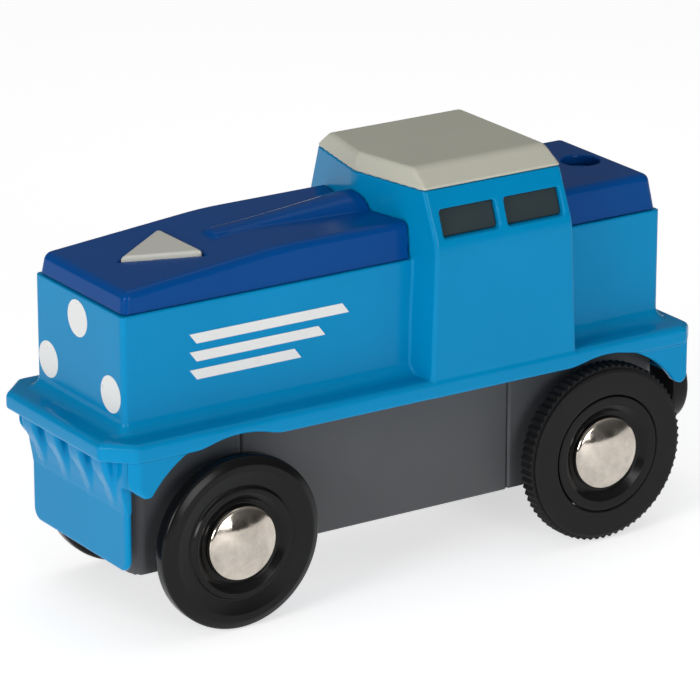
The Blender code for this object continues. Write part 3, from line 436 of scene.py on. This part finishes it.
def field_values(field, xs, ys, zs):
    values = np.empty((len(xs), len(ys), len(zs)))
    for index, x in enumerate(xs):
        y, z = np.meshgrid(ys, zs, indexing="ij")
        values[index] = field(np.full_like(y, x), y, z)
    return values


def crossing_points(values, xs, ys, zs, cells):
    """Mean of the surface crossings on the edges of each cell that the surface passes."""
    lines = (xs, ys, zs)
    total = np.zeros((len(cells), 3))
    count = np.zeros(len(cells))
    for axis in range(3):
        others = [other for other in range(3) if other != axis]
        for first in (0, 1):
            for second in (0, 1):
                low = cells.copy()
                low[:, others[0]] += first
                low[:, others[1]] += second
                high = low.copy()
                high[:, axis] += 1
                start, end = values[tuple(low.T)], values[tuple(high.T)]
                crosses = (start < 0) != (end < 0)
                share = np.where(crosses, start / np.where(crosses, start - end, 1.0), 0.0)
                point = np.stack([lines[k][low[:, k]] for k in range(3)], axis=1)
                step = lines[axis][high[:, axis]] - lines[axis][low[:, axis]]
                point[:, axis] += share * step
                total += point * crosses[:, None]
                count += crosses
    return total / count[:, None]


def net_faces(inside, index):
    """One quad round each grid edge whose ends lie on different sides of the surface."""
    faces = []
    for axis in range(3):
        order = [axis, (axis + 1) % 3, (axis + 2) % 3]
        turned_inside = np.transpose(inside, order)
        turned_index = np.transpose(index, order)
        start, end = turned_inside[:-1, 1:-1, 1:-1], turned_inside[1:, 1:-1, 1:-1]
        for leaving in (True, False):
            where = np.argwhere((start == leaving) & (end != leaving))
            i, j, k = where[:, 0], where[:, 1] + 1, where[:, 2] + 1
            corners = [turned_index[i, j - 1, k - 1], turned_index[i, j, k - 1],
                       turned_index[i, j, k], turned_index[i, j - 1, k]]
            quad = np.stack(corners if leaving else corners[::-1], axis=1)
            faces.append(quad)
    return np.concatenate(faces)


def field_gradient(field, points, reach=0.02):
    gradient = np.empty_like(points)
    for axis in range(3):
        ahead, behind = points.copy(), points.copy()
        ahead[:, axis] += reach
        behind[:, axis] -= reach
        gradient[:, axis] = (field(*ahead.T) - field(*behind.T)) / (2 * reach)
    return gradient


def settle(field, points, cell, rounds=5):
    """Move points along the gradient until they lie on the surface."""
    for _ in range(rounds):
        value = field(*points.T)
        gradient = field_gradient(field, points)
        size = np.maximum((gradient ** 2).sum(axis=1), 0.05)
        step = np.clip(value / size, -0.4 * cell, 0.4 * cell)
        points = points - step[:, None] * gradient
    return points


def field_mesh(name, field, low, high, cell):
    """Closed mesh of a field's surface in metres, thinned where it is flat, with the field's own normals."""
    lines = [grid_lines(low[k] - 1.5 * cell, high[k] + 1.5 * cell, cell) for k in range(3)]
    values = field_values(field, *lines)
    inside = values < 0
    filled = sum(inside[a:inside.shape[0] - 1 + a, b:inside.shape[1] - 1 + b, c:inside.shape[2] - 1 + c]
                 .astype(np.int8) for a in (0, 1) for b in (0, 1) for c in (0, 1))
    active = (filled > 0) & (filled < 8)
    index = np.full(active.shape, -1, np.int64)
    index[active] = np.arange(active.sum())
    cells = np.argwhere(active)
    points = settle(field, crossing_points(values, *lines, cells), cell)
    faces = net_faces(inside, index)
    mesh = bpy.data.meshes.new(name)
    mesh.from_pydata((points * MM).tolist(), [], faces.tolist())
    mesh.validate()
    return thin_flats(mesh, field, cell)


def thin_flats(mesh, field, cell):
    """Dissolve the flat areas of a dense mesh and shade it with the field's normals, wide faces as flats."""
    bm = bmesh.new()
    bm.from_mesh(mesh)
    bmesh.ops.dissolve_limit(bm, angle_limit=FLAT_ANGLE, verts=bm.verts, edges=bm.edges)
    bmesh.ops.triangulate(bm, faces=bm.faces)
    bm.to_mesh(mesh)
    bm.free()
    mesh.shade_smooth()
    points = np.empty(len(mesh.vertices) * 3)
    mesh.vertices.foreach_get("co", points)
    gradient = field_gradient(field, points.reshape(-1, 3) / MM, 0.01)
    length = np.maximum(np.linalg.norm(gradient, axis=1), 1e-6)
    corners = np.empty(len(mesh.loops), np.int64)
    mesh.loops.foreach_get("vertex_index", corners)
    flats = np.empty(len(mesh.polygons) * 3)
    mesh.polygons.foreach_get("normal", flats)
    areas = np.empty(len(mesh.polygons))
    mesh.polygons.foreach_get("area", areas)
    normals = (gradient / length[:, None])[corners]
    flats = np.repeat(flats.reshape(-1, 3), 3, axis=0)
    is_flat = np.repeat(areas > 1.2 * (cell * MM) ** 2, 3) & ((normals * flats).sum(axis=1) > 0.87)
    mesh.normals_split_custom_set(np.where(is_flat[:, None], flats, normals).tolist())
    return mesh


def rounded_profile(corners, steps=5):
    """Replace each (along, radius, rounding) corner of a closed outline by an arc."""
    points = []
    count = len(corners)
    for index, (along, radius, rounding) in enumerate(corners):
        here = Vector((along, radius))
        before = Vector(corners[index - 1][:2])
        after = Vector(corners[(index + 1) % count][:2])
        if rounding == 0.0:
            points.append(tuple(here))
            continue
        back, ahead = (before - here), (after - here)
        half = back.angle(ahead) / 2
        reach = min(rounding / math.tan(half), 0.49 * back.length, 0.49 * ahead.length)
        start, end = here + back.normalized() * reach, here + ahead.normalized() * reach
        for step in range(steps + 1):
            share = step / steps
            first, second = start.lerp(here, share), here.lerp(end, share)
            points.append(tuple(first.lerp(second, share)))
    return points


def turned_mesh(name, profile, axis, centre, steps, reach=None):
    """Turn a closed (along, radius) outline about an axis; reach may change a radius with the angle."""
    bm = bmesh.new()
    rings = []
    for along, radius in profile:
        if radius < 1e-6:
            rings.append([bm.verts.new(axis_point(axis, centre, along, 0.0, 0.0))])
            continue
        ring = []
        for step in range(steps):
            angle = 2 * math.pi * step / steps
            actual = reach(along, radius, angle) if reach else radius
            ring.append(bm.verts.new(axis_point(axis, centre, along, actual, angle)))
        rings.append(ring)
    pairs = list(zip(rings, rings[1:]))
    if len(rings[0]) > 1:
        pairs.append((rings[-1], rings[0]))
    for first, second in pairs:
        for step in range(steps):
            following = (step + 1) % steps
            corners = [first[step % len(first)], first[following % len(first)],
                       second[following % len(second)], second[step % len(second)]]
            bm.faces.new(list(dict.fromkeys(corners)))
    bmesh.ops.recalc_face_normals(bm, faces=bm.faces)
    mesh = bpy.data.meshes.new(name)
    bm.to_mesh(mesh)
    bm.free()
    mesh.shade_smooth()
    mesh.set_sharp_from_angle(angle=SHARP_ANGLE)
    return mesh


def axis_point(axis, centre, along, radius, angle):
    u = centre[0] + radius * math.cos(angle)
    v = centre[1] + radius * math.sin(angle)
    place = {"X": (along, u, v), "Y": (u, along, v), "Z": (u, v, along)}[axis]
    return Vector(place) * MM


def show(mesh, node, body, slot, material):
    """Put a finished mesh in the scene in place of its CAD node."""
    obj = bpy.data.objects.new(mesh.name, mesh)
    bpy.context.scene.collection.objects.link(obj)
    mesh.materials.clear()
    mesh.materials.append(material)
    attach(obj, body)
    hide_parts(node)
    return obj


# ---------------------------------------------------------------- materials

def start_material(name, roughness, metallic=0.0):
    material = bpy.data.materials.new(name)
    material.use_nodes = True
    shader = material.node_tree.nodes["Principled BSDF"]
    shader.inputs["Roughness"].default_value = roughness
    shader.inputs["Metallic"].default_value = metallic
    return material, shader


def add_noise(tree, scale, detail=4.0, roughness=0.55):
    """Noise in object space, whose scale is in features per metre."""
    place = tree.nodes.new("ShaderNodeTexCoord")
    noise = tree.nodes.new("ShaderNodeTexNoise")
    noise.inputs["Scale"].default_value = scale
    noise.inputs["Detail"].default_value = detail
    noise.inputs["Roughness"].default_value = roughness
    tree.links.new(place.outputs["Object"], noise.inputs["Vector"])
    return noise.outputs["Fac"]


def ramp(tree, source, stops):
    node = tree.nodes.new("ShaderNodeValToRGB")
    elements = node.color_ramp.elements
    while len(elements) < len(stops):
        elements.new(0.5)
    for element, (position, colour) in zip(elements, stops):
        element.position = position
        element.color = (*colour, 1.0)
    tree.links.new(source, node.inputs["Fac"])
    return node.outputs["Color"]


def spread(tree, source, low, high, source_low=0.3, source_high=0.7):
    node = tree.nodes.new("ShaderNodeMapRange")
    node.inputs["From Min"].default_value = source_low
    node.inputs["From Max"].default_value = source_high
    node.inputs["To Min"].default_value = low
    node.inputs["To Max"].default_value = high
    tree.links.new(source, node.inputs["Value"])
    return node.outputs["Result"]


def add_bump(tree, shader, source, distance, strength):
    bump = tree.nodes.new("ShaderNodeBump")
    bump.inputs["Distance"].default_value = distance
    bump.inputs["Strength"].default_value = strength
    tree.links.new(source, bump.inputs["Height"])
    tree.links.new(bump.outputs["Normal"], shader.inputs["Normal"])


def shade(colour, factor):
    return tuple(min(1.0, channel * factor) for channel in colour)


def moulded(name, colour, roughness, variation=0.04, grain=900.0, relief=0.00001, specular=0.5):
    """Injection-moulded plastic: faint flow shading, uneven gloss and a fine skin."""
    material, shader = start_material(name, roughness)
    tree = material.node_tree
    flow = add_noise(tree, 45.0, 3.0)
    tone = ramp(tree, flow, [(0.3, shade(colour, 1.0 - variation)), (0.7, shade(colour, 1.0 + variation))])
    tree.links.new(tone, shader.inputs["Base Color"])
    gloss = spread(tree, add_noise(tree, 160.0, 5.0), roughness * 0.85, roughness * 1.2)
    tree.links.new(gloss, shader.inputs["Roughness"])
    add_bump(tree, shader, add_noise(tree, grain, 2.0), relief, 0.25)
    shader.inputs["Specular IOR Level"].default_value = specular
    return material


def rubber(name, colour):
    material, shader = start_material(name, 0.6)
    shader.inputs["Specular IOR Level"].default_value = 0.2
    tree = material.node_tree
    dust = add_noise(tree, 220.0, 6.0, 0.65)
    tone = ramp(tree, dust, [(0.35, colour), (0.75, shade(colour, 1.7))])
    tree.links.new(tone, shader.inputs["Base Color"])
    tree.links.new(spread(tree, dust, 0.5, 0.72), shader.inputs["Roughness"])
    add_bump(tree, shader, add_noise(tree, 2600.0, 3.0), 0.00002, 0.5)
    return material


def metal(name, colour, roughness, variation=0.12, grain=700.0, relief=0.00002):
    """Plated or drawn metal with handling marks."""
    material, shader = start_material(name, roughness, 1.0)
    tree = material.node_tree
    stain = add_noise(tree, 260.0, 6.0, 0.6)
    stops = [(0.32, shade(colour, 1.0 - variation)), (0.6, colour), (0.8, shade(colour, 1.06))]
    tone = ramp(tree, stain, stops)
    tree.links.new(tone, shader.inputs["Base Color"])
    tree.links.new(spread(tree, add_noise(tree, 520.0, 5.0), roughness * 0.6, roughness * 1.7),
                   shader.inputs["Roughness"])
    add_bump(tree, shader, add_noise(tree, grain, 4.0), relief, 0.35)
    return material


def make_materials():
    return {
        "light_blue": moulded("light_blue_plastic", (0.0, 0.225, 0.47), 0.17, specular=0.1),
        "dark_blue": moulded("dark_blue_plastic", (0.0, 0.056, 0.24), 0.18, specular=0.1),
        "cream": moulded("cream_plastic", (0.52, 0.515, 0.43), 0.34, 0.02, specular=0.2),
        "grey": moulded("grey_plastic", (0.075, 0.078, 0.083), 0.45, 0.06, 1400.0, 0.00002, 0.2),
        "window_grey": moulded("window_plastic", (0.024, 0.038, 0.042), 0.42, 0.06, 1400.0, specular=0.25),
        "black_plastic": moulded("black_plastic", (0.006, 0.006, 0.0065), 0.19, 0.1, specular=0.16),
        "tyre": rubber("tyre_rubber", (0.006, 0.006, 0.0063)),
        "white": moulded("white_plastic", (0.60, 0.60, 0.54), 0.33, 0.02),
        "nickel": metal("nickel_plate", (0.62, 0.56, 0.49), 0.11, 0.35, 420.0, 0.00005),
        "steel": metal("drawn_steel", (0.52, 0.52, 0.53), 0.3),
        "brass": metal("stamped_brass", (0.75, 0.55, 0.25), 0.3),
        "ferrite": moulded("magnet_ferrite", (0.045, 0.045, 0.05), 0.4, 0.2, 1800.0, 0.00004),
        "gear_white": moulded("acetal_plastic", (0.72, 0.72, 0.66), 0.4, 0.02),
        "battery_jacket": moulded("battery_film", (0.015, 0.10, 0.035), 0.25, 0.05),
        "print_white": moulded("printed_ink", (0.70, 0.71, 0.70), 0.3, 0.03),
    }


# ---------------------------------------------------------------- pieces

def build_moulded_pieces(materials):
    side = FOOTPLATE_HALF_WIDTH
    pieces = (
        ("shell_moulding", shell_field,
         (FOOTPLATE_REAR, -side, APRON_BOTTOM), (FRONT_END, side, CAB_TOP), 0.3, "body_shell", "light_blue"),
        ("front_cover_moulding", front_cover_field, (-0.5, -10.3, 41.6), (42.6, 10.3, 48.6), 0.3,
         "front_hood_cover", "dark_blue"),
        ("rear_cover_moulding", rear_cover_field, (-37.2, -10.3, 41.6), (-20.0, 10.3, 46.6), 0.3,
         "rear_hood_cover", "dark_blue"),
        ("roof_moulding", roof_field, (-20.5, -12.3, 49.0), (3.1, 12.3, ROOF_TOP), 0.3, "cab_roof", "cream"),
        ("chassis_moulding", chassis_field, (CHASSIS_REAR, -9.6, 5.2), (CHASSIS_FRONT, 9.6, 38.7), 0.5,
         "chassis_frame", "grey"),
        ("hatch_moulding", hatch_field,
         (HATCH_REAR, -9.6, CHASSIS_BOTTOM), (HATCH_FRONT, 9.6, CHASSIS_TOP), 0.4, "battery_hatch", "grey"),
        ("start_button_moulding", start_button_field,
         (START_BASE, -5.5, STEM_FOOT), (START_APEX, 5.5, 47.2), 0.2, "start_button", "white"),
    )
    for name, field, low, high, cell, node, slot in pieces:
        show(field_mesh(name, field, low, high, cell), node, frame["nodes"][node]["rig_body"], slot,
             materials[slot])


def build_windows(materials):
    for name, mirror in (("left", 1.0), ("right", -1.0)):
        def field(x, y, z, mirror=mirror):
            return window_insert_field(x, y * mirror, z)
        low, high = sorted((mirror * 9.8, mirror * 14.6))
        mesh = field_mesh("window_moulding_" + name, field, (-19.6, low, 44.8), (-1.1, high, 48.5), 0.2)
        show(mesh, "window_insert_" + name, "chassis", "window_grey", materials["window_grey"])


def mirrored(profile, side):
    return [(side * along, radius) for along, radius in profile]


def hub_well(face):
    """Recess in the outer face that the hub cap sits in, down to the bore."""
    return [(face - 0.12, 6.45, 0.25), (face - 0.75, 5.55, 0.3), (face - 0.85, 5.2, 0.1),
            (face - 0.85, BORE_RADIUS, 0.1)]


def build_wheels(materials):
    inner = WHEEL_INNER_FACE
    radius = FRONT_AXLE[1]
    boss = [(BOSS_FACE, BORE_RADIUS, 0.1), (BOSS_FACE, BOSS_RADIUS, 0.3), (inner, BOSS_RADIUS, 0.2)]
    front = boss + [(inner, radius, 0.8), (FRONT_FACE - 0.5, radius, 0.6),
                    (FRONT_FACE, radius - 1.1, 0.9), (FRONT_FACE, radius - 1.9, 0.9),
                    (FRONT_FACE - 0.55, 7.35, 0.25), (FRONT_FACE - 0.12, 7.05, 0.2)] + hub_well(FRONT_FACE)
    hub = boss + [(inner, HUB_RADIUS, 0.1), (REAR_FACE - 0.05, HUB_RADIUS, 0.25),
                  (REAR_FACE - 0.05, HUB_RADIUS - 0.3, 0.2)] + hub_well(REAR_FACE)
    for name, side in (("left", 1), ("right", -1)):
        wheel = turned_mesh("front_wheel_turning_" + name, mirrored(rounded_profile(front), side), "Y",
                            FRONT_AXLE, WHEEL_STEPS)
        show(wheel, "front_wheel_" + name, "front_wheelset", "black_plastic", materials["black_plastic"])
        core = turned_mesh("rear_hub_turning_" + name, mirrored(rounded_profile(hub), side), "Y",
                           REAR_AXLE, WHEEL_STEPS)
        show(core, "rear_wheel_hub_" + name, "rear_wheelset", "black_plastic", materials["black_plastic"])
        tyre = turned_mesh("rear_tyre_knurled_" + name, mirrored(rounded_profile(tyre_outline()), side), "Y",
                           REAR_AXLE, TYRE_KNURLS * KNURL_STEPS, knurled)
        show(tyre, "rear_tyre_" + name, "rear_wheelset", "tyre", materials["tyre"])


def tyre_outline():
    inner, radius = WHEEL_INNER_FACE, REAR_AXLE[1]
    bore = HUB_RADIUS + 0.12
    return [(inner, bore, 0.1), (inner, radius, 0.25), (REAR_FACE - 0.6, radius, 0.15),
            (REAR_FACE - 0.55, radius - 0.75, 0.08), (REAR_FACE - 0.3, radius - 0.75, 0.08),
            (REAR_FACE - 0.25, radius - 0.45, 0.15), (REAR_FACE, radius - 0.9, 0.4),
            (REAR_FACE, bore + 0.15, 0.12), (REAR_FACE - 0.3, bore, 0.1)]


def knurled(along, radius, angle):
    """Cut rounded grooves across the tread, fading out where the radius is smaller."""
    tread = REAR_AXLE[1]
    share = max(0.0, 1.0 - (tread - radius) / 0.6)
    wave = 0.5 - 0.5 * math.cos(TYRE_KNURLS * (angle + math.pi / 2))
    return radius - KNURL_DEPTH * share * wave


def build_caps(materials):
    for end, axle, face in (("front", FRONT_AXLE, FRONT_FACE), ("rear", REAR_AXLE, REAR_FACE)):
        back = face - 0.75
        for name, side in (("left", 1), ("right", -1)):
            profile = [(back, 0.0), (back, CAP_RADIUS - 0.1), (back + 0.1, CAP_RADIUS)]
            dome = 22
            for step in range(dome + 1):
                share = step / dome
                radius = CAP_RADIUS * (1.0 - share ** 1.6)
                height = CAP_CROWN - 1.1 * (radius / CAP_RADIUS) ** 2
                edge = CAP_RADIUS - radius
                if edge < 0.35:
                    height -= 0.35 - math.sqrt(max(0.0, 0.35 ** 2 - (0.35 - edge) ** 2))
                profile.append((height, radius))
            mesh = turned_mesh(f"{end}_cap_turning_{name}", mirrored(profile, side), "Y", axle, CAP_STEPS)
            show(mesh, f"{end}_hub_cap_{name}", end + "_wheelset", "nickel", materials["nickel"])


def build_stop_button(materials):
    top = HOOD_TOP - BUTTON_TRAVEL
    corners = [(STEM_FOOT, 0.0, 0.0), (STEM_FOOT, STEM_RADIUS, 0.1), (42.6, STEM_RADIUS, 0.1),
               (42.6, STOP_RADIUS, 0.1), (top, STOP_RADIUS, 0.35), (top - 0.15, 0.0, 0.0)]
    mesh = turned_mesh("stop_button_moulding", rounded_profile(corners), "Z", (STOP_CENTRE, 0.0), 72)
    show(mesh, "stop_button", "stop_button", "dark_blue", materials["dark_blue"])


def build_coupling(materials):
    face = COUPLING_REAR
    cup = MAGNET_RADIUS + 0.1
    root = CHASSIS_REAR - 0.1
    corners = [(face + 0.4, cup, 0.1), (face + 0.4, COUPLING_RADIUS, 0.7), (face + 3.0, COUPLING_RADIUS, 0.8),
               (face + 4.2, 3.2, 0.6), (root, 2.6, 0.1), (root, 1.8, 0.0), (-37.2, 1.8, 0.0),
               (-37.2, 0.6, 0.0), (face + 3.1, 0.6, 0.0), (face + 3.1, cup, 0.1)]
    mesh = turned_mesh("coupling_cup_turning", rounded_profile(corners), "X", (0.0, COUPLING_HEIGHT), 96)
    show(mesh, "coupling_holder", "chassis", "black_plastic", materials["black_plastic"])
    corners = [(face, 0.0, 0.0), (face, MAGNET_RADIUS, 0.35), (face + 2.9, MAGNET_RADIUS, 0.2),
               (face + 2.9, 0.0, 0.0)]
    mesh = turned_mesh("coupling_magnet_turning", rounded_profile(corners), "X", (0.0, COUPLING_HEIGHT), 96)
    show(mesh, "coupling_magnet", "chassis", "ferrite", materials["ferrite"])


def print_mesh(name, outline, axis, surface, thickness=PRINT_THICKNESS):
    """Ink print as a thin closed plate on a flat wall; the outline is given in the wall's plane."""
    bm = bmesh.new()
    levels = []
    for along in (surface + 0.005, surface + thickness):
        ring = []
        for u, v in outline:
            place = (along, u, v) if axis == "X" else (u, along, v)
            ring.append(bm.verts.new(Vector(place) * MM))
        levels.append(ring)
    count = len(outline)
    for index in range(count):
        following = (index + 1) % count
        bm.faces.new((levels[0][index], levels[0][following], levels[1][following], levels[1][index]))
    bm.faces.new(levels[0])
    bm.faces.new(levels[1])
    bmesh.ops.recalc_face_normals(bm, faces=bm.faces)
    mesh = bpy.data.meshes.new(name)
    bm.to_mesh(mesh)
    bm.free()
    return mesh


def show_print(mesh, materials):
    obj = bpy.data.objects.new(mesh.name, mesh)
    bpy.context.scene.collection.objects.link(obj)
    mesh.materials.append(materials["print_white"])
    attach(obj, "chassis")
    return obj


def build_prints(materials):
    """Three lamp dots on the hood front, and plain slanted stripes on both hood sides."""
    for name, y, z in LAMP_DOTS:
        outline = []
        for step in range(48):
            angle = 2 * math.pi * step / 48
            outline.append((y + DOT_RADIUS * math.cos(angle), z + DOT_RADIUS * math.sin(angle)))
        show_print(print_mesh("lamp_dot_" + name, outline, "X", HOOD_FRONT), materials)
    for side_label, side in (("left", 1), ("right", -1)):
        for number, (start, end, low) in enumerate(STRIPES):
            high = low + STRIPE_HEIGHT
            outline = [(start, low), (end, low), (end + STRIPE_SLANT, high), (start + STRIPE_SLANT, high)]
            surface = side * HOOD_HALF_WIDTH
            mesh = print_mesh(f"stripe_{side_label}_{number + 1}", outline, "Y", surface,
                              side * PRINT_THICKNESS)
            show_print(mesh, materials)


def dress_hidden_pieces(materials):
    """Give every CAD node that stays in view its own finish."""
    for name, obj in frame["nodes"].items():
        slot = next(part["material_slot"] for part in frame["record"]["subparts"] if part["node"] == name)
        obj.data.materials.clear()
        obj.data.materials.append(materials[slot])


# ---------------------------------------------------------------- stage

def build_stage():
    mesh = bpy.data.meshes.new("floor")
    half = FLOOR_HALF_SIZE
    corners = [(-half, -half, 0), (half, -half, 0), (half, half, 0), (-half, half, 0)]
    mesh.from_pydata(corners, [], [(0, 1, 2, 3)])
    floor = bpy.data.objects.new("floor", mesh)
    floor.location = (0.0, 0.0, -0.0001)
    bpy.context.scene.collection.objects.link(floor)
    material, shader = start_material("floor_white", 0.6)
    shader.inputs["Base Color"].default_value = (0.8, 0.8, 0.8, 1.0)
    shader.inputs["Emission Color"].default_value = (1.0, 1.0, 1.0, 1.0)
    shader.inputs["Emission Strength"].default_value = 0.6
    mesh.materials.append(material)


def add_area_light(name, place, size, power):
    light = bpy.data.lights.new(name, "AREA")
    light.shape = "RECTANGLE"
    light.size = size
    light.size_y = size
    light.energy = power
    obj = bpy.data.objects.new(name, light)
    obj.location = place
    obj.rotation_euler = (Vector(LIGHT_TARGET) - Vector(place)).to_track_quat("-Z", "Y").to_euler()
    bpy.context.scene.collection.objects.link(obj)


def build_lights():
    """Three soft boxes in a room that is dim at the horizon and brighter overhead."""
    for name, place, size, power in LIGHTS:
        add_area_light(name, place, size, power)
    world = bpy.data.worlds.new("studio")
    world.use_nodes = True
    tree = world.node_tree
    direction = tree.nodes.new("ShaderNodeTexCoord")
    height = tree.nodes.new("ShaderNodeSeparateXYZ")
    tree.links.new(direction.outputs["Generated"], height.inputs["Vector"])
    glow = spread(tree, height.outputs["Z"], 0.03, 0.4, 0.0, 0.9)
    background = tree.nodes["Background"]
    background.inputs["Color"].default_value = (1.0, 1.0, 1.0, 1.0)
    tree.links.new(glow, background.inputs["Strength"])
    bpy.context.scene.world = world


def build_camera():
    azimuth, elevation = CAMERA_AZIMUTH, CAMERA_ELEVATION
    target = Vector(CAMERA_TARGET) * MM
    back = Vector((math.cos(elevation) * math.cos(azimuth), math.cos(elevation) * math.sin(azimuth),
                   math.sin(elevation)))
    camera = bpy.data.cameras.new("photo_view")
    camera.lens = CAMERA_LENS
    camera.sensor_width = 36.0
    camera.clip_start = 0.01
    camera.clip_end = 100.0
    obj = bpy.data.objects.new("photo_view", camera)
    obj.location = target + back * CAMERA_DISTANCE
    obj.rotation_euler = (-back).to_track_quat("-Z", "Y").to_euler()
    bpy.context.scene.collection.objects.link(obj)
    bpy.context.scene.camera = obj


def main():
    materials = make_materials()
    build_camera()
    dress_hidden_pieces(materials)
    build_moulded_pieces(materials)
    build_windows(materials)
    build_wheels(materials)
    build_caps(materials)
    build_stop_button(materials)
    build_coupling(materials)
    build_prints(materials)
    build_stage()
    build_lights()
    bpy.context.scene.view_settings.view_transform = "Standard"


main()
